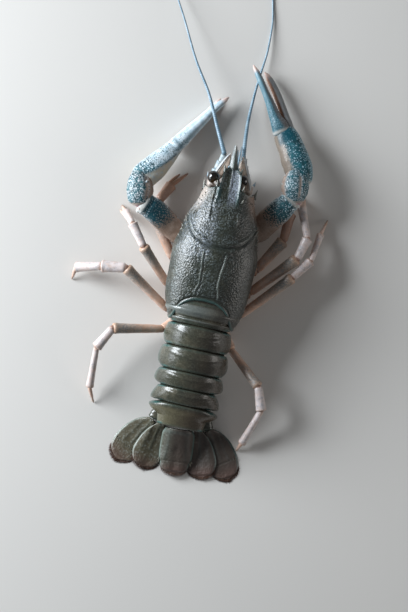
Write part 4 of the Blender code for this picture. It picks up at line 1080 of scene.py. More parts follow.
def leg(kind, side):
    """One leg, as an upper and a lower piece. It gives its joints and half widths."""
    sign = SIDES[side]
    segments = [length for half in LEGS[kind, side] for length in half]
    points = joints_of(kind, side, segments)
    reach, degrees, *_ = segments[TOE]
    pitch = -math.degrees(math.asin(min((points[TOE][2] - TOE_REST) / reach, STEEPEST_TOE)))
    points[-1] = points[TOE] + way(degrees, pitch, sign) * reach
    halves = [row[3] * LEG_GIRTH for row in segments]

    def joint(t):
        return np.maximum(ridge(t - 1.0, 0.07), 0.8 * ridge(t, 0.06))

    forms = []
    for i, half in enumerate(halves):
        start, end = points[i], points[i + 1]
        if i < TOE:
            def relief(t, up, grid, keeled=i in (2, 4)):
                keel = 0.16 * keeled * ridge(up - 1, 0.25) * window(t, 0.2, 0.85, 0.1)
                return keel + 0.07 * wobble(grid, 1.3) + 0.07 * ridge(t - 0.95, 0.04) - 0.05 * ridge(t - 0.86, 0.04)

            forms.append(segment(
                start, end, half, half * 0.92, limb_shape, relief=relief, joint=joint,
                far=1.0 if i > UPPER_END else 0.5, brown=0.8 * (kind == "leg_1" and i > UPPER_END),
                knee=lambda t, thigh=i == UPPER_END: thigh * ease(t, 0.25, 0.95),
            ))
            forms.append(membrane(end, min(half, halves[i + 1]) * 0.66))
        else:
            forms += toe_forms(kind, start, end, half, sign)
        if i in (UPPER_END, TOE):
            name = f"{kind}_{side}_{'upper' if i == UPPER_END else 'lower'}"
            piece(f"walking_{name}", forms, "limb", [name])
            forms = []
    return points, halves


def leg_bristles(points, halves):
    """Sparse bristles on a leg's last three lengths, leaning towards its tip."""
    roots, ways, lengths = [], [], []
    for i, count in LEG_BRISTLES.items():
        start, end = points[i], points[i + 1]
        along = unit(end - start)
        across = unit(np.cross(along, UP))
        above = np.cross(across, along)
        for _ in range(count):
            t, turn = draw.uniform(0.2, 0.95), draw.uniform(-0.6, math.pi + 0.6)
            out = across * math.cos(turn) + above * math.sin(turn)
            girth = halves[i] * (0.85 if i < TOE else float(toe_shape(t)) * 0.8)
            roots.append(start + (end - start) * t + out * girth)
            ways.append(out * 0.8 + along)
            lengths.append(draw.uniform(0.5, 1.1))
    return hairs(roots, ways, lengths, 0.03, pale=0.7)


def toe_forms(kind, start, end, half, sign):
    """The last joint: a plain claw, or with a short finger beside it a small pincer."""
    along = unit(end - start)
    line = straight(start - along * half * 0.3, end, 30)
    t = np.linspace(0, 1, 30)
    line[:, 2] += 0.35 * np.sin(np.pi * t) * half
    girth = toe_shape(t) * capped(t, 0.12, 0.05) * half + 0.03
    line[:, 2] = np.maximum(line[:, 2], girth * 0.9)
    grid, _ = sweep(line, girth, girth * 0.9, 18)
    marks = {"far": 0.7, "brown": 0.8 * (kind == "leg_1")}
    forms = [Form(grid, tip=ease(t, 0.7, 1.0)[:, None], joint=0.4 * ridge(t, 0.1)[:, None], **marks)]
    if kind in ("leg_1", "leg_2"):
        beside = unit(np.cross(along, UP)) * sign
        root = start + beside * half * 0.55 - along * 1.4
        tip = start + (end - start) * 0.66 + beside * half * 1.45
        tip[2] = max(tip[2], 0.35)
        line = path([root, (root + tip) / 2 + beside * 0.2, tip], 22)
        t = np.linspace(0, 1, 22)
        girth = toe_shape(t) * capped(t, 0.1, 0.06) * half * 0.95 + 0.03
        line[:, 2] = np.maximum(line[:, 2], girth)
        grid, _ = sweep(line, girth, girth, 16)
        forms.append(Form(grid, tip=ease(t, 0.75, 1.0)[:, None], **marks))
    return forms


# Claws. Each hard length is drawn through stations from its inner to its outer joint.


CLAW_HIPS = {
    # length, heading, pitch, half width, half depth
    "left": ((3.7, 90, 1.5, 2.9, 2.4), (4.2, 87, 13.7, 3.3, 2.3)),
    "right": ((2.8, 90, 2, 2.9, 2.4), (6.9, 35.5, 7.5, 3.1, 2.3)),
}
CLAW_STATIONS = {
    # across, forward, height, half width, half depth
    "left": {
        "thigh": (
            (-12.8, 8.3, 4.3, 2.8, 2.2), (-14.0, 8.7, 4.7, 3.6, 2.6), (-16.3, 9.7, 5.6, 4.2, 3.0),
            (-21.0, 12.6, 7.8, 4.55, 3.1), (-25.4, 15.4, 9.9, 4.7, 3.2), (-29.2, 17.3, 11.3, 4.5, 3.2),
            (-31.7, 18.2, 12.0, 4.1, 3.0), (-32.6, 18.6, 12.2, 3.4, 2.5),
        ),
        "wrist": (
            (-33.0, 16.9, 12.3, 2.6, 2.4), (-33.2, 17.9, 12.3, 3.9, 3.2), (-33.8, 19.9, 12.3, 4.7, 3.9),
            (-34.2, 22.8, 12.0, 5.3, 4.2), (-35.0, 26.0, 11.3, 4.8, 4.1), (-35.8, 28.4, 10.6, 3.7, 3.8),
            (-36.2, 29.4, 10.3, 2.4, 3.0),
        ),
        "palm": (
            (-36.7, 25.6, 9.9, 2.6, 3.0), (-36.0, 26.6, 9.8, 3.8, 3.7), (-34.9, 27.8, 9.6, 4.8, 4.3),
            (-33.6, 29.2, 9.2, 5.2, 4.7), (-31.5, 31.8, 8.7, 5.2, 4.9), (-29.5, 34.8, 8.1, 4.8, 4.6),
            (-27.3, 38.2, 7.4, 4.15, 4.0), (-25.5, 41.3, 6.8, 3.5, 3.3), (-24.4, 43.0, 6.4, 3.1, 2.8),
            (-23.6, 44.2, 6.2, 2.3, 2.0),
        ),
        "finger": (
            (-25.6, 41.7, 7.3, 2.4, 2.1), (-24.3, 43.4, 7.4, 2.95, 2.5), (-23.0, 45.2, 7.2, 2.93, 2.5),
            (-19.9, 49.8, 6.6, 2.5, 2.2), (-15.9, 55.8, 5.7, 1.94, 1.7), (-12.8, 60.5, 4.9, 1.55, 1.35),
            (-10.4, 63.7, 4.4, 1.27, 1.05), (-8.8, 65.7, 4.1, 0.8, 0.7), (-7.9, 66.8, 3.9, 0.25, 0.25),
        ),
        "thumb": (
            (-25.7, 42.4, 3.9, 2.59, 2.4), (-23.6, 45.8, 3.5, 2.5, 2.3), (-20.6, 50.6, 2.9, 2.09, 2.0),
            (-16.5, 56.5, 2.2, 1.66, 1.55), (-13.5, 61.2, 1.6, 1.3, 1.2), (-11.9, 64.1, 1.1, 0.85, 0.85),
            (-11.1, 65.9, 0.8, 0.22, 0.3),
        ),
    },
    "right": {
        "thigh": (
            (13.0, 14.4, 4.6, 3.2, 2.3), (14.2, 16.2, 5.2, 4.2, 2.8), (15.6, 18.4, 6.0, 4.75, 3.1),
            (18.0, 22.0, 8.3, 4.9, 3.3), (20.9, 26.0, 10.4, 4.8, 3.4), (23.3, 29.5, 11.7, 4.3, 3.4),
            (24.7, 31.5, 12.1, 3.7, 3.1), (25.3, 32.4, 12.2, 2.9, 2.5),
        ),
        "wrist": (
            (26.5, 30.6, 12.0, 2.3, 2.2), (26.2, 31.6, 12.0, 3.5, 3.1), (25.6, 33.8, 12.0, 4.9, 4.0),
            (25.1, 36.9, 11.8, 5.4, 4.3), (24.7, 40.1, 11.0, 4.8, 4.1), (24.4, 42.2, 10.5, 3.6, 3.6),
            (24.2, 43.2, 10.2, 2.3, 2.8),
        ),
        "palm": (
            (28.1, 38.0, 9.9, 2.6, 2.4), (27.6, 39.0, 9.8, 3.9, 3.2), (26.1, 42.2, 9.6, 5.2, 4.2),
            (24.6, 45.1, 9.2, 5.65, 4.4), (22.8, 48.0, 8.7, 5.6, 4.4), (20.7, 51.6, 8.0, 5.2, 4.2),
            (18.7, 54.5, 7.3, 5.05, 3.9), (17.1, 56.9, 6.8, 4.5, 3.4), (16.3, 58.2, 6.5, 3.6, 2.9),
            (15.8, 59.0, 6.3, 2.6, 2.2),
        ),
        "finger": (
            (16.1, 56.6, 7.5, 2.8, 2.0), (15.3, 57.7, 7.6, 3.5, 2.6), (14.5, 58.9, 7.6, 3.3, 2.7),
            (11.5, 62.8, 7.4, 2.28, 2.2), (8.5, 67.5, 7.2, 1.7, 1.8), (5.8, 71.4, 7.0, 1.34, 1.5),
            (2.9, 75.7, 6.6, 1.21, 1.25), (0.9, 78.5, 6.2, 1.0, 1.0), (-0.4, 80.2, 5.9, 0.65, 0.6),
            (-1.1, 81.2, 5.7, 0.2, 0.2),
        ),
        "thumb": (
            (19.3, 55.4, 5.8, 2.4, 2.4), (18.6, 58.0, 5.6, 2.3, 2.6), (17.6, 60.4, 5.3, 1.95, 2.4),
            (15.3, 64.6, 4.6, 1.6, 2.0), (11.8, 70.3, 3.9, 1.48, 1.7), (8.4, 75.0, 3.4, 1.35, 1.4),
            (5.4, 78.4, 3.1, 0.95, 0.9), (3.8, 79.7, 3.0, 0.25, 0.3),
        ),
    },
}
CLAW_SIDES = 56
CLAW_SQUARE = 0.92
KNOB_PLACE = 0.93  # the share along at which an outer end's knobs sit
THORN_SINK = 0.93  # the share of the half width at which a thorn is rooted


def stations_form(stations, count, relief, sides=CLAW_SIDES, **marks):
    """A hard length through stations of place, half width and half depth. Its marks may be functions of the share
    along it and of how far across and up a point lies round it, and its relief is one of these and its points."""
    rows = np.array(stations, float)
    steps = run_lengths(rows[:, :3])
    t = np.linspace(0, 1, count)
    t = 0.5 * t + 0.5 * (t - np.sin(2 * np.pi * t) / (2 * np.pi))
    *line, wide, deep = (curve(*zip(steps, column))(t * steps[-1]) for column in rows.T)
    line = np.stack(line, -1)
    line[:, 2] = np.maximum(line[:, 2], deep * 0.98)
    grid, angle = sweep(line, wide, deep, sides, CLAW_SQUARE)
    round_it = np.broadcast_arrays(t[:, None], np.cos(angle)[None], np.sin(angle)[None])
    grid = raised(grid, relief(*round_it, grid) * np.clip(wide / 1.5, 0.15, 1)[:, None])
    marks = {name: mark(*round_it) if callable(mark) else mark for name, mark in marks.items()}
    return Form(grid, **marks), line, wide, deep


def claw_relief(t, grid):
    """Fine granules on a gentle unevenness, which both fade towards the ends."""
    return (0.11 * granules(grid, 0.8) + 0.08 * wobble(grid, 2.2)) * window(t, 0.06, 0.94, 0.05)


def claw(side):
    """One claw: its hip, thigh and wrist, and its hand."""
    stations = CLAW_STATIONS[side]
    left = side == "left"
    inner = 1 if left else -1  # the edge towards the beak, on the right or left of the way out along the claw
    hips = joints_of("cheliped", side, CLAW_HIPS[side])
    forms = [
        segment(start, end, wide, deep, limb_shape, tan=1.0, sides=36, count=40,
                relief=lambda t, up, grid: 0.07 * wobble(grid, 1.4))
        for start, end, (*_, wide, deep) in zip(hips, hips[1:], CLAW_HIPS[side])
    ]
    forms += [membrane(hips[1], 2.1), membrane(hips[2], 2.0)]
    piece(f"claw_hip_{side}", forms, "claw", [f"cheliped_{side}_coxa"])

    def spotted(t, across, up):
        middle = 1 - ease(np.abs(across), 0.6, 0.95)
        along = ease(t, 0.36, 0.72) * (1 - 0.7 * ease(t, 0.93, 1.0))
        return along * ease(up, -0.3, 0.3) * (0.35 + 0.65 * middle)

    def thigh_relief(t, across, up, grid):
        return claw_relief(t, grid) + 0.22 * ridge(t - 0.93, 0.03) - 0.2 * ridge(t - 0.86, 0.02)

    thigh, *sizes = stations_form(
        stations["thigh"], 70, thigh_relief, teal=spotted, dim=0.6 * (not left),
        deep=lambda t, across, up: 0.75 * left * spotted(t, across, up),
        tan=lambda t, across, up: 1 - 0.8 * ease(t, 0.5, 0.85), rim=lambda t, across, up: ease(t, 0.9, 0.95),
    )
    forms = [thigh, *condyles(*sizes)]
    forms += edge_thorns(*sizes, inner, ((0.42, 20), (0.58, 25), (0.74, 25), (0.86, 60)))
    forms += edge_thorns(*sizes, -inner, ((0.62, 30), (0.8, 40)))
    forms.append(membrane(np.array(stations["wrist"][0][:3]) + (0, 1.2, -0.4), 2.5))
    piece(f"claw_thigh_{side}", forms, "claw", [f"cheliped_{side}_merus"])

    groove_place = 0.55 if left else -0.35

    def netted(t, across, up):
        groove = ridge(across * inner - groove_place, 0.14) * window(t, 0.2, 0.7, 0.15)
        edge = 1 - ease(across * inner, 0.5, 0.85)
        return 0.68 * ease(up, -0.35, 0.2) * edge * window(t, 0.1, 0.96, 0.08) * (1 - groove)

    def wrist_relief(t, across, up, grid):
        dent = -0.5 * ridge(across * inner - groove_place, 0.16) * window(t, 0.25, 0.75, 0.2) * (up > 0)
        return claw_relief(t, grid) + dent

    wrist, *sizes = stations_form(
        stations["wrist"], 64, wrist_relief, teal=netted, dim=0.6 * (not left),
        tan=lambda t, across, up: 1 - netted(t, across, up),
        rim=lambda t, across, up: np.maximum(ease(t, 0.95, 0.99), 1 - ease(t, 0.02, 0.06)) * 0.5,
    )
    forms = [wrist]
    forms += edge_thorns(*sizes, inner, ((0.35, 15), (0.52, 20), (0.7, 30), (0.6, 55)))
    forms += edge_thorns(*sizes, -inner, ((0.75, 40),))
    forms.append(membrane(sizes[0][-1] + (0, -0.8, -0.6), 2.2))
    piece(f"claw_wrist_{side}", forms, "claw", [f"cheliped_{side}_carpus"])
    hand(side, stations)


def hand(side, stations):
    """The palm with its fixed finger in one piece, and the moving finger."""
    left = side == "left"

    def crest_place(t):
        """How far across the left palm the crest over its cream flank runs."""
        return 1.1 * (t - 0.2)

    def netted(t, across, up):
        if left:
            back = ease(up, 0.05, 0.5) * (0.8 - ease(t, 0.15, 0.6) * 0.62)
            return back * (1 - ease(across - crest_place(t), 0.0, 0.15))
        return ease(up, -0.1, 0.35) * ease(across, -0.6, -0.1) * (0.95 - 0.5 * ease(across, 0.5, 0.9))

    def deep_teal(t, across, up):
        if left:
            return ridge(across + 0.05 - crest_place(t), 0.1) * (up > 0) * window(t, 0.2, 0.8, 0.06)
        return window(t, 0.76, 0.92, 0.08) * ease(up, 0.1, 0.5) * window(across, -0.6, 0.5, 0.25)

    def sandy(t, across, up):
        if left:
            return 0.25 * np.maximum(ease(across, 0.42, 0.62), 1 - ease(up, -0.5, 0.0))
        return np.maximum(1 - ease(across, -0.55, -0.05), 1 - ease(up, -0.4, 0.0))

    def creamy(t, across, up):
        below = np.maximum(ease(across - crest_place(t), 0.0, 0.12), 1 - ease(up, -0.5, 0.0))
        return 0.8 * left * below * (1 - 0.6 * ease(t, 0.6, 0.95))

    def palm_relief(t, across, up, grid):
        crest = 0.35 * left * ridge(across - crest_place(t), 0.14) * (up > 0) * window(t, 0.2, 0.85, 0.1)
        return claw_relief(t, grid) + crest

    palm, *sizes = stations_form(
        stations["palm"], 80, palm_relief, teal=netted, deep=deep_teal, tan=sandy, cream=creamy,
        # on the right palm, painted shade dulls the pale ground and greys the tan
        dim=0.9 * (not left), muddy=1.0 * (not left),
        rim=lambda t, across, up: (0.3 if left else 0.9) * (1 - ease(t, 0.02, 0.07)),
    )
    forms = [palm, finger_form(stations["thumb"], side, "thumb")]
    place, along, across, above = end_frame(*sizes)
    for off, up, size in ((-0.95, 0.35, 0.75), (-0.6, 0.75, 0.6), (-0.2, 0.95, 0.55), (0.3, 0.85, 0.75)):
        forms.append(knob(place + along * 0.6 + across * off + above * up, size, 0.8, pale=1.0))
    piece(f"claw_palm_{side}", forms, "claw", [f"cheliped_{side}_propodus"])
    finger = finger_form(stations["finger"], side, "finger")
    piece(f"claw_finger_{side}", [finger], "claw", [f"cheliped_{side}_dactyl"])


def finger_form(stations, side, kind):
    """A finger: two furrows along its back, a row of low teeth on its cutting edge and a pale horny tip."""
    left, moving = side == "left", kind == "finger"

    def toward(across, up):
        """1 on the side that faces the other finger."""
        facing = -up if left else across
        return facing if moving else -facing

    def relief(t, across, up, grid):
        along = window(t, 0.12, 0.88, 0.08)
        furrows = -0.16 * (ridge(across - 0.55, 0.12) + ridge(across + 0.45, 0.12)) * (up > 0)
        teeth = np.abs(np.sin(t * 80)) ** 0.7 * ridge(toward(across, up) - 1, 0.12)
        return furrows * along + 0.26 * teeth * along + 0.06 * granules(grid, 0.7) * along + 0.05 * wobble(grid, 2.0)

    def tan(t, across, up):
        if left or moving:
            return 1 - ease(up - 0.25 * across, -0.45, -0.1)
        return 0.75 + 0 * t

    def teal(t, across, up):
        return (0.12 if left else 0.6) * moving * ease(up, 0, 0.6) * (1 - ease(t, 0.1, 0.6))

    def deep(t, across, up):
        if left:
            return 0.6 * moving * ridge(t - 0.1, 0.02) * (up > 0.5)
        return 0.45 * moving * window(t, 0.08, 0.7, 0.1)

    return stations_form(
        stations, 100, relief, 36, tan=tan, teal=teal, deep=deep, dim=1.0 * (moving and not left),
        tip=lambda t, across, up: ease(t, 0.86, 0.95),
        rim=lambda t, across, up: (moving and not left) * ridge(t - 0.045, 0.02),
        inner=lambda t, across, up: ease(toward(across, up), 0.1, 0.7) * (not left) * (0.3 if moving else 1.0),
        shade=lambda t, across, up: np.maximum(ridge(across - 0.55, 0.22) * (up > 0), 0.9 * (not left)),
    )[0]


def end_frame(line, wide, deep):
    """The place near a length's outer end where its knobs sit, the way along, and its half sizes as vectors."""
    row = int(KNOB_PLACE * (len(line) - 1))
    along, across, above = (direction[row] for direction in frames(line))
    return line[row], along, across * wide[row], above * deep[row]


def condyles(line, wide, deep):
    """The pale hinge knobs at both corners of an outer end, each with a warm one above it."""
    place, along, across, above = end_frame(line, wide, deep)
    forms = []
    for off in (-0.95, 0.95):
        forms.append(knob(place + across * off + above * 0.15, 0.85, 0.9, pale=0.9))
        forms.append(knob(place + across * off * 0.72 + above * 0.62 + along * 0.2, 0.6, 0.8, warm=0.9))
    return forms


def edge_thorns(line, wide, deep, edge, places):
    """Thorns along one edge: their share along and their lift in degrees."""
    along, across, above = frames(line)
    forms = []
    for share, lift in places:
        row = int(share * (len(line) - 1))
        angle = math.radians(lift)
        level, rise = across[row] * edge, above[row]
        out = level * math.cos(angle) + rise * math.sin(angle)
        root = line[row] + level * wide[row] * math.cos(angle) * THORN_SINK
        root = root + rise * deep[row] * math.sin(angle) * THORN_SINK
        forms.append(thorn(root, out + along[row] * 0.7, 1.1, 0.42))
    return forms


# The head: eyes, feelers, scales and mouth limbs.


# middle, radius
EYES = {"left": (np.array((-6.85, 33.5, 18.1)), 2.5), "right": (np.array((4.5, 34.6, 17.4)), 2.2)}
STALK = (4.3, 30.35, 19.6)
PEDUNCLE_ENDS = {"left": np.array((-4.6, 43.2, 14.4)), "right": np.array((3.0, 43.3, 13.4))}


def eye(side):
    """One eye: a ball with a painted bronze reflection on its inner side, and the stem that carries it."""
    centre, radius = EYES[side]
    sign = SIDES[side]
    root = np.array((STALK[0] * sign, STALK[1], STALK[2]))
    axis = unit(centre - root)
    theta = np.pi * (0.02 + 0.96 * np.linspace(0.0, 1.0, 48))
    line = centre - axis * (radius * np.cos(theta))[:, None]
    grid, _ = sweep(line, radius * np.sin(theta), radius * np.sin(theta), 48)
    inward = np.array((-sign, -0.8, 0.1))
    # bronze: a painted reflection on the inner rear of the ball
    bronze = ease(grid @ inward - centre @ inward, 0.1, 1.6)
    piece(f"eye_ball_{side}", [Form(grid, bronze=bronze)], "eye", [f"eye_{side}"])
    length = np.linalg.norm(centre - root) - radius * 0.85
    u = np.linspace(0, 1, 40)
    line = root - axis * 1.2 + axis * (u * (length + 1.2))[:, None]
    girth = curve((0, 1.3), (0.35, 1.25), (0.7, radius * 0.52), (0.93, radius * 0.56), (1.0, radius * 0.45))(u)
    grid, _ = sweep(line, girth, girth, 36)
    grid = raised(grid, 0.06 * wobble(grid, 0.9) + 0.12 * ridge(u - 0.55, 0.05)[:, None])
    piece(f"eye_stem_{side}", [Form(grid, cream=0.25, warm=1.0)], "shell", [f"eyestalk_{side}"])


def antenna(side):
    """One feeler: its jointed stem, the leaf over its foot, its long whip and the short pair beside it."""
    sign = SIDES[side]
    end = PEDUNCLE_ENDS[side]
    knuckle = np.array((end[0] + sign * 1.9, end[1] - 6.0, 12.0))
    root = np.array((sign * 6.8, 30.0, 11.9))
    swell = np.array((sign * 7.0, 33.6, 11.5))
    parts = [
        segment(root, swell, 2.2, 2.1, palm_shape, leaf=0.8),
        segment(swell, knuckle, 1.7, 1.6, limb_shape, stem=1.0),
        segment(knuckle, knuckle + (end - knuckle) * 0.55, 1.5, 1.4, limb_shape, stem=1.0),
        segment(knuckle + (end - knuckle) * 0.5, end, 1.3, 1.2, limb_shape, stem=0.8),
        thorn(swell + np.array((sign * 2.2, 0.5, 0.4)), (sign * 0.3, 1, 0), 1.8, 0.5),
    ]
    piece(f"antenna_stem_{side}", parts, "feeler", [f"antenna_base_{side}"])
    scale_leaf(side)
    whip(side)
    antennule(side)


def scale_leaf(side):
    """The leaf over a feeler's foot: a stiff outer edge with a point, and a soft inner web."""
    sign = SIDES[side]
    root = np.array((sign * 7.6, 31.4, 14.55))
    tip = np.array((-2.1, 44.4, 16.6)) if side == "left" else np.array((2.6, 43.8, 16.2))
    outer = curve((0, 0.9), (0.15, 1.4), (0.5, 1.35), (0.85, 0.85), (1.0, 0.12))
    inner = curve((0, 1.1), (0.15, 1.9), (0.4, 2.6), (0.65, 2.5), (0.85, 1.2), (0.95, 0.3), (1.0, 0.1))
    right = unit(np.cross(unit(tip - root), UP))
    t, across = np.meshgrid(np.linspace(0, 1, 46), np.linspace(-1, 1, 31), indexing="ij")
    out_side = across * sign
    off = np.where(out_side > 0, across * outer(t), across * inner(t))
    thick = 0.5 * np.clip(1 - np.abs(across) ** 6, 0.1, 1)
    rib = 0.4 * ridge(out_side - 0.45, 0.22) + 0.22 * ridge(across, 0.12)
    base = root + (tip - root) * t[..., None] + right * off[..., None]
    base = base - UP * (0.35 * np.sin(np.pi * t))[..., None]
    top = base + UP * (thick + rib * (1 - ease(t, 0.8, 1.0)))[..., None]
    stiff = ease(out_side, 0.1, 0.5)
    leaf = Form(wrapped(top, base - UP * thick[..., None]), stiff=wrapped(stiff, stiff), leaf=1.0)
    piece(f"antenna_leaf_{side}", [leaf], "feeler", [f"antennal_scale_{side}"])


FEELERS = {
    # forward, across, height
    "left": ((44.0, -5.0, 14.5), (54.1, -10.1, 13.0), (65.2, -15.5, 11.0), (78.0, -23.7, 8.2),
             (93.7, -32.0, 5.2), (107.0, -39.5, 3.0), (122.0, -47.0, 1.2), (138.0, -53.5, 0.1)),
    "right": ((44.0, 2.75, 13.3), (50.9, 2.1, 10.6), (60.0, 1.6, 6.9), (69.1, 1.8, 4.2), (79.2, 2.5, 2.5),
              (88.8, 3.25, 1.6), (97.8, 3.0, 0.8), (108.8, 1.0, 0.3), (124.0, -3.0, 0.1), (139.0, -9.0, 0.1)),
}
feeler_radius = curve((0, 0.9), (0.15, 0.66), (0.4, 0.44), (0.7, 0.32), (0.97, 0.26), (1.0, 0.15))
WHIP_RINGS = 130
WHIP_BEADS = np.array([0.9, 1.0, 1.04, 1.0])
ANTENNULE_RINGS = 24
ANTENNULE_BEADS = np.array([0.88, 1.0, 1.05, 1.0])


def ringed(line, girth, sides):
    """A whip with a dark notch at the foot of each of its rings, which are four rows long."""
    grid, _ = sweep(line, girth, girth, sides)
    return Form(grid, notch=(np.arange(len(line)) % 4 == 0)[:, None] * 1.0)


def whip(side):
    """The long feeler, ringed along its whole length."""
    keys = FEELERS[side]
    across = curve(*[(y, x) for y, x, _ in keys])
    height = curve(*[(y, z) for y, _, z in keys])
    t = np.linspace(0, 1, WHIP_RINGS * 4 + 1)
    y = keys[0][0] + (keys[-1][0] - keys[0][0]) * t
    radius = feeler_radius(t)
    line = np.stack([across(y), y, np.maximum(height(y), radius)], -1)
    line[0] = PEDUNCLE_ENDS[side]
    girth = radius * WHIP_BEADS[np.arange(len(t)) % 4] * capped(t, 0, 0.004) + 0.01
    piece(f"antenna_whip_{side}", [ringed(line, girth, 12)], "feeler", [f"antenna_{side}"])


def antennule(side):
    """The short feeler beside the beak: three lengths of stem and two fine whips."""
    sign = SIDES[side]
    points = [np.array((sign * x, y, z)) for x, y, z in (
        (1.5, 30.0, 17.2), (1.45, 33.4, 17.4), (1.4, 36.2, 17.8), (1.4, 39.0, 18.1)
    )]
    forms = [segment(a, b, half, half, limb_shape, count=22, sides=18)
             for a, b, half in zip(points, points[1:], (1.15, 1.0, 0.85))]
    t = np.linspace(0, 1, ANTENNULE_RINGS * 4 + 1)
    girth = curve((0, 0.42), (0.6, 0.32), (1, 0.14))(t) * ANTENNULE_BEADS[np.arange(len(t)) % 4]
    for spread, reach in ((-0.1, 9.5), (-0.85, 8.0)):
        line = np.stack([sign * (1.4 + spread * (0.4 + t)), 38.4 + reach * t, 18.1 - 6.5 * t**3], -1)
        forms.append(ringed(line, girth, 10))
    piece(f"antennule_{side}", forms, "feeler", [f"antennule_{side}"])


MAXILLIPED = (
    # across, forward, height, half width
    (2.5, 15.3, 3.2, 1.4), (2.9, 19.0, 3.4, 1.7), (2.9, 25.0, 3.5, 1.6), (2.6, 30.0, 3.9, 1.1),
    (2.3, 30.9, 4.4, 1.1), (1.7, 34.5, 6.2, 1.1), (1.3, 37.2, 6.4, 0.8), (1.2, 39.5, 5.2, 0.35),
)


def mouth_limb(side):
    """One of the two short limbs that lie folded under the mouth."""
    rows = [(np.array((SIDES[side] * x, y, z)), half) for x, y, z, half in MAXILLIPED]
    forms = []
    for a, b in ((0, 1), (1, 3), (3, 5), (5, 6), (6, 7)):
        (start, first), (end, last) = rows[a], rows[b]
        size = max(first, last)
        forms.append(segment(start, end, size, size, limb_shape, count=26, sides=20, square=0.85))
    piece(f"mouth_limb_{side}", forms, "limb", [f"maxilliped_{side}"])


CHEST_REAR, CHEST_FRONT, CHEST_TOP = -26.0, 15.0, 6.3
CHEST_FLAT = 4.4
CHEST_SEAMS = (12.2, 4.5, -4.5, -13.2, -20.3)


def chest():
    """The underside plate between the limbs, with a boss at each hip and seams between its plates."""
    y = np.linspace(CHEST_REAR, CHEST_FRONT, 150)
    half = 5.2 + 1.3 * np.max([ridge(y - hip, 2.3 if hip > 5 else 1.8) ** 0.5 for hip in HIPS.values()], 0)
    half = half * capped((y - CHEST_REAR) / (CHEST_FRONT - CHEST_REAR), 0.05, 0.05) + 0.2
    share = np.linspace(-1, 1, 25)
    rows = []
    for y_row, h in zip(y, half):
        off_flat = np.abs(share * h) - min(CHEST_FLAT, h - 0.8)
        rows.append(slab_row(share * h, y_row, np.where(off_flat < 0, 0.0, off_flat * 0.9), CHEST_TOP))
    grid = np.stack(rows)
    seams = np.max([ridge(y - place, 0.3) for place in CHEST_SEAMS], 0)
    grid[:, :len(share), 2] += 0.35 * seams[:, None]
    piece("chest_plate", [Form(grid)], "limb", ["sternum"])


def mouth():
    """The block of small mouthparts, with a ridge beneath on each side of its middle."""
    y = np.linspace(16.4, 29.0, 60)
    half = curve((16.4, 3.2), (18.0, 4.4), (26.0, 4.2), (29.0, 3.0))(y)
    share = np.linspace(-1, 1, 21)
    rows = []
    for y_row, h in zip(y, half):
        x = share * h
        low = 6.1 + 0.3 * share**2 - 0.35 * ridge(np.abs(x) - 2.0, 1.0)
        rows.append(slab_row(x, y_row, low, shell_floor(y_row) - 0.3))
    piece("mouth_block", [Form(np.stack(rows))], "limb", ["mouthparts"])


# Finishes. Their colours are in the 0 to 255 steps of a screen.


def shell_finish():
    made = Finish("granular olive shell", 0.3, 0.4, 0.24, 0.65)
    grain, groove, edge, warm, cream, bloom, stripe, line, beak_edge, pale, dark = made.marks(
        "grain", "groove", "edge", "warm", "cream", "bloom", "stripe", "line", "beak", "pale", "dark"
    )
    olive = made.node("ValToRGB", {"stops": ((0.3, (24, 31, 25)), (0.5, (35, 40, 31)), (0.7, (57, 58, 44)))},
                      {"Fac": made.noise(0.2, 6, 0.72)})
    brown = made.blend(made.noise(0.5, 4, 0.7).clamped(0.35, 0.7), (40, 40, 36), (66, 60, 52))
    speck = made.noise(2.2, 2, 0.6).clamped(0.55, 0.7)
    cream = cream * made.noise(0.9, 4, 0.7).clamped(0.2, 0.5)
    dots = made.noise(2.4, 3, 0.7).clamped(0.5, 0.62)
    # the painted sheen lies mostly on the grain tops
    bloom = bloom * (0.25 + 0.75 * grain) * made.noise(1.2, 4, 0.75).clamped(0.44, 0.58)
    # the painted sheen in the beak's trough, broken by the grain
    stripe = stripe * made.noise(1.5, 5, 0.8).clamped(0.42, 0.56)
    made.paint("Base Color", made.layered(
        olive,
        # painted shade: the right side browner; the face and eye stems carry a brown of their own
        (warm * 0.55, brown),
        # pale grain tops, painted stronger on the lit left side as their sheen
        (grain ** 2.0 * (0.65 - 0.35 * warm), (130, 142, 144)),
        (speck * 0.4, (96, 104, 98)),
        # cream cheeks and low flanks, painted whiter on the lit left and tan on the shaded right
        (cream * 0.8, made.blend(warm.clamped(0.3, 0.9), (206, 192, 182), (156, 128, 112))),
        (cream * dots * 0.4, (66, 76, 72)),
        (bloom * 0.62, (172, 182, 196)),
        (stripe * 0.7, (174, 184, 200)),
        # painted shade in the grooves
        (groove * 0.4, (28, 44, 42)),
        # painted highlights along the ridge lines
        (line * 0.6, (104, 116, 110)),
        (edge * 0.6, (72, 112, 110)),
        (beak_edge * 0.85, (10, 60, 62)),
        (pale * 0.75, (176, 174, 160)),
        # painted shade inside the shell and on the wall under the beak
        (dark, (16, 14, 11)),
    ))
    made.paint("Roughness", 0.3 + 0.16 * made.noise(0.7, 3) + 0.1 * groove)
    made.bump(made.cells(2.0) * 0.6 + made.noise(4.5, 3) * 0.4, 0.14, 0.9)
    return made.material


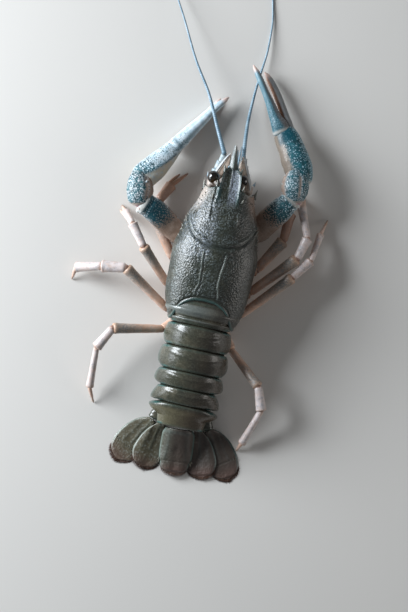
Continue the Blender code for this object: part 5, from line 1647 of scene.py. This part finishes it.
def tail_finish():
    made = Finish("wet olive tail", 0.3, 0.2, 0.12, 0.6)
    edge, flap, rib, rear, warm, crease, fan, grain, band, tan, limb, pale, dark = made.marks(
        "edge", "flap", "rib", "rear", "warm", "crease", "fan", "grain", "band", "tan", "limb", "pale", "dark"
    )
    olive = made.node("ValToRGB", {"stops": ((0.3, (46, 50, 43)), (0.5, (62, 63, 51)), (0.7, (87, 83, 68)))},
                      {"Fac": made.noise(0.2, 6, 0.7)})
    # painted light: the left blades lighter and golden, as lit from the left
    golden = made.blend(warm.clamped(0.0, 0.4), (90, 82, 60), (68, 68, 58))
    # painted highlights: glints on the grain of the left blades
    glint = grain * fan * (1 - warm) * made.noise(1.3, 4, 0.7).clamped(0.46, 0.6)
    made.paint("Base Color", made.layered(
        olive,
        # painted shade: the right side mauve-brown
        (warm * 0.5, (76, 64, 58)),
        (made.noise(1.6, 4, 0.75).clamped(0.48, 0.68) * 0.55, (38, 36, 26)),
        (made.noise(2.2, 3, 0.7).clamped(0.53, 0.68) * 0.5, (118, 120, 106)),
        # the flaps' own pale grey-teal, painted stronger on the lit left
        (flap * (1 - warm * 0.5) * 0.7, (92, 110, 104)),
        # the blades, painted darker and browner on the shaded right
        (fan * 0.65, made.blend(warm.clamped(0.5, 1.0), golden, (70, 58, 52))),
        (glint * 0.6, (150, 156, 150)),
        # the painted highlight bands of the first ring
        (band * 0.35, (140, 150, 150)),
        # the last ring's tan, painted darker on the shaded right
        (tan * 0.55, made.blend(warm, (104, 98, 75), (90, 76, 62))),
        # teal edges, painted pale on the left blades as their lit rims
        (edge * (0.75 - 0.2 * fan), made.blend(fan * (1 - warm), (48, 98, 96), (132, 146, 138))),
        (rib * 0.3, (74, 104, 104)),
        (rear * fan * 0.6, (98, 72, 64)),
        # painted shade in the creases between rings
        (crease * 0.75, (34, 28, 20)),
        (limb, (150, 126, 104)),
        (pale * 0.7, (176, 170, 152)),
        # painted shade in the hollows behind the rings
        (dark, (22, 18, 12)),
    ))
    made.paint("Roughness", 0.2 + 0.16 * made.noise(0.8, 4, 0.6) + 0.24 * fan)
    made.bump(made.noise(2.6, 4, 0.65), 0.1, 0.6)
    return made.material


def claw_finish():
    made = Finish("teal-netted claw", 0.35, 0.12, 0.12, 0.3)
    teal, tan, tip, warm, dim, muddy, cream, deep, shade, inner, rim, pale, skin = made.marks(
        "teal", "tan", "tip", "warm", "dim", "muddy", "cream", "deep", "shade", "inner", "rim", "pale", "skin"
    )
    white = made.blend(made.noise(0.5, 4, 0.6).clamped(0.35, 0.7), (220, 233, 240), (182, 206, 218))
    sand = made.blend(made.noise(0.35, 4, 0.6).clamped(0.3, 0.7), (142, 118, 102), (168, 146, 132))
    sand = made.blend(made.noise(1.8, 3, 0.7).clamped(0.52, 0.66) * 0.45, sand, (176, 160, 148))
    warped = made.node("VectorMath", {"operation": "ADD"}, {
        0: made.place, 1: made.node("TexNoise", None, {"Vector": made.place, "Scale": 1.1, "Detail": 2.0}, "Color"),
    })
    cell = made.cells(1.1, "DISTANCE_TO_EDGE", warped)
    net = (teal * 0.29 + (made.noise(1.7, 3, 0.6) - 0.5) * 0.7 - cell).clamped(-0.01, 0.06) * teal.clamped(0.02, 0.14)
    made.paint("Base Color", made.layered(
        white,
        (tan, sand),
        # painted shade: the right claw's pale ground dulled to a darker teal, as it lies away from the light
        (dim * (0.8 - 0.7 * tan), (104, 152, 168)),
        # painted shade: the right palm's tan greyed and darkened
        (muddy * tan * 0.6, (104, 98, 86)),
        (net * 0.93, made.blend(made.noise(0.45, 3, 0.6).clamped(0.35, 0.65), (0, 54, 62), (6, 88, 98))),
        (cream * made.noise(0.6, 4, 0.6).clamped(0.2, 0.6), (206, 194, 168)),
        (deep * 0.8, (0, 66, 80)),
        (shade * 0.5, (66, 100, 112)),
        (inner * 0.75, (184, 124, 86)),
        (rim * 0.75, (196, 194, 188)),
        (tip * 0.9, (222, 192, 180)),
        (warm * 0.7, (186, 128, 96)),
        (pale * 0.85, (208, 206, 198)),
        (skin, (176, 148, 150)),
    ))
    made.paint("Roughness", 0.28 + 0.22 * made.noise(0.8, 3))
    made.bump(made.cells(1.5) * 0.5 + made.noise(3.5, 3) * 0.5, 0.12, 0.7)
    return made.material


def limb_finish():
    made = Finish("peach marbled limb", 0.35, 0.15, 0.15)
    up, joint, tip, far, brown, knee, skin = made.marks("up", "joint", "tip", "far", "brown", "knee", "skin")
    peach = made.blend(made.noise(0.3, 4, 0.6).clamped(0.35, 0.7), (210, 168, 142), (218, 190, 174))
    white = made.blend(made.noise(0.5, 4, 0.6).clamped(0.35, 0.7), (214, 207, 208), (208, 190, 182))
    knee = knee * up.clamped(-0.2, 0.5)
    marble = made.noise(1.6, 5, 0.7, 0.3).clamped(0.42, 0.58)
    patches = marble * made.noise(0.35, 3, 0.6).clamped(0.45, 0.6) * up.clamped(0.0, 0.8)
    made.paint("Base Color", made.layered(
        peach,
        # the far lengths pale of their own, painted paler still on their tops as lit from above
        (far.clamped(0.5, 1.0) * (1 - 0.8 * brown) * (0.25 + 0.6 * up.clamped(-0.5, 0.35)), white),
        (knee * 0.55, (136, 144, 138)),
        (marble * knee * 0.65, (76, 100, 106)),
        (patches * (0.1 + far * 0.4), (112, 130, 142)),
        (made.noise(2.4, 3, 0.7).clamped(0.55, 0.68) * 0.4, (206, 198, 192)),
        (joint * 0.7, (200, 156, 124)),
        (brown * 0.8, (152, 104, 76)),
        (tip * 0.8, (130, 92, 74)),
        (skin, (150, 118, 104)),
    ))
    made.paint("Roughness", 0.28 + 0.22 * made.noise(1.0, 3))
    made.bump(made.noise(3.0, 4, 0.6), 0.1, 0.7)
    return made.material


def feeler_finish():
    made = Finish("steel blue feeler", 0.35, 0.2, 0.1)
    stem, notch, leaf, stiff, pale = made.marks("stem", "notch", "leaf", "stiff", "pale")
    blue = made.blend(made.noise(0.4, 4).clamped(0.35, 0.7), (112, 142, 160), (146, 172, 188))
    grey = made.blend(made.noise(0.5, 4).clamped(0.35, 0.7), (150, 168, 176), (190, 194, 192))
    web = made.blend(made.noise(0.8, 3).clamped(0.35, 0.65), (184, 160, 142), (202, 184, 168))
    made.paint("Base Color", made.layered(
        blue,
        (stem, grey),
        (notch * 0.6, (44, 62, 72)),
        (leaf, made.blend(stiff, web, (178, 182, 184))),
        (pale * 0.7, (196, 198, 194)),
    ))
    made.paint("Roughness", 0.28 + 0.18 * made.noise(1.2, 3))
    made.bump(made.noise(4.0, 3), 0.05, 0.5)
    return made.material


def eye_finish():
    made = Finish("black glossy eye", 0.06, 1.0, 0.03)
    bronze, = made.marks("bronze")
    facets = made.cells(7.0, "DISTANCE_TO_EDGE", randomness=0.15).clamped(0.0, 0.12)
    # bronze: painted reflection on the black ball
    made.paint("Base Color", made.layered((9, 8, 7), (bronze, (74, 56, 34)), (facets * 0.6, (30, 22, 14))))
    made.paint("Roughness", 0.07 + 0.05 * made.noise(2.0, 2))
    made.bump(facets, 0.01, 0.3)
    return made.material


def hair_finish():
    made = Finish("reddish brown bristles", 0.5)
    tip, pale = made.marks("tip", "pale")
    layers = (tip.clamped(0.0, 1.0), (74, 34, 26)), (pale, (190, 160, 120))
    made.paint("Base Color", made.layered((90, 66, 48), *layers))
    made.paint("Roughness", 0.45 + 0.1 * made.noise(3.0, 2))
    return made.material


def floor_finish():
    made = Finish("pale studio floor", 0.55)
    made.paint("Base Color", made.blend(made.noise(0.02, 3) * 0.3, (218, 215, 210), (211, 208, 204)))
    return made.material


FINISHES = {
    "shell": shell_finish(), "tail": tail_finish(), "claw": claw_finish(), "limb": limb_finish(),
    "feeler": feeler_finish(), "eye": eye_finish(), "hair": hair_finish(),
}


# The camera looks straight down as the photographer did, with the body turned a little in the frame.


CAMERA_HEIGHT = 700.0
CAMERA_PLACE = Vector((0.1, -16.4, CAMERA_HEIGHT)) * MM
IMAGE_UP = Vector((-0.213, 0.977, 0.0)).normalized()
IMAGE_RIGHT = IMAGE_UP.cross(Vector((0, 0, 1)))
PHOTO_ROWS = 612
MM_A_PIXEL = 0.4
SENSOR = 36.0


def camera():
    lens = bpy.data.cameras.new("photo camera")
    lens.sensor_fit = "VERTICAL"
    lens.sensor_height = SENSOR
    lens.lens = SENSOR * CAMERA_HEIGHT / (PHOTO_ROWS * MM_A_PIXEL)
    lens.clip_start = 0.01
    made = bpy.data.objects.new("photo camera", lens)
    turn = Matrix((IMAGE_RIGHT, IMAGE_UP, Vector((0, 0, 1)))).transposed()
    made.matrix_world = Matrix.Translation(CAMERA_PLACE) @ turn.to_4x4()
    bpy.context.scene.collection.objects.link(made)
    bpy.context.scene.camera = made


COOL = (0.89, 0.945, 1.0)
WARM = (1.0, 0.97, 0.93)
LIGHTS = (
    # name, right, up, height, width, length, power, colour
    ("window", -0.58, 0.30, 0.31, 0.36, 0.36, 8.6, COOL),
    ("low reflector", -0.42, 0.03, 0.12, 0.34, 0.16, 1.1, COOL),
    ("fill", 0.55, -0.1, 0.2, 0.3, 0.3, 0.65, WARM),
)
SKY = (0.9, 0.94, 1.0, 1)
SKY_STRENGTH = 0.12
BODY_MIDDLE = -0.016
FLOOR_REACH = 1.5


def light(name, right, up, height, width, length, power, colour):
    """A soft light placed by the picture's right and up, in metres, and aimed at the body."""
    lamp = bpy.data.lights.new(name, "AREA")
    lamp.shape = "RECTANGLE"
    lamp.size, lamp.size_y = width, length
    lamp.energy = power
    lamp.color = colour
    made = bpy.data.objects.new(name, lamp)
    place = IMAGE_RIGHT * right + IMAGE_UP * up + Vector((0, BODY_MIDDLE, height))
    made.matrix_world = Matrix.Translation(place) @ (-place).to_track_quat("-Z", "Y").to_matrix().to_4x4()
    bpy.context.scene.collection.objects.link(made)


def studio():
    """The lights, the weak sky and the floor."""
    world = bpy.data.worlds.new("studio")
    bpy.context.scene.world = world
    world.use_nodes = True
    sky = world.node_tree.nodes["Background"].inputs
    sky["Color"].default_value = SKY
    sky["Strength"].default_value = SKY_STRENGTH
    for row in LIGHTS:
        light(*row)
    bpy.context.scene.view_settings.view_transform = "Standard"
    mesh = bpy.data.meshes.new("studio_floor")
    corners = [(x * FLOOR_REACH, y * FLOOR_REACH, 0) for x, y in ((-1, -1), (1, -1), (1, 1), (-1, 1))]
    mesh.from_pydata(corners, [], [(0, 1, 2, 3)])
    mesh.materials.append(floor_finish())
    floor = bpy.data.objects.new("studio_floor", mesh)
    bpy.context.scene.collection.objects.link(floor)


# Everything in place.


carapace()
for ring in range(len(RINGS)):
    tail_ring(ring)
fringes, bristles = [telson()], []
for side in SIDES:
    fringes += [blade(kind, side) for kind in BLADE_LENGTHS]
    protopod(side)
    claw(side)
    for kind in ("leg_1", "leg_2", "leg_3", "leg_4"):
        bristles.append(leg_bristles(*leg(kind, side)))
    eye(side)
    antenna(side)
    mouth_limb(side)
piece("tail_fringe", fringes, "tail", coat=True)
piece("leg_bristles", bristles, "limb", coat=True)
chest()
mouth()
camera()
studio()
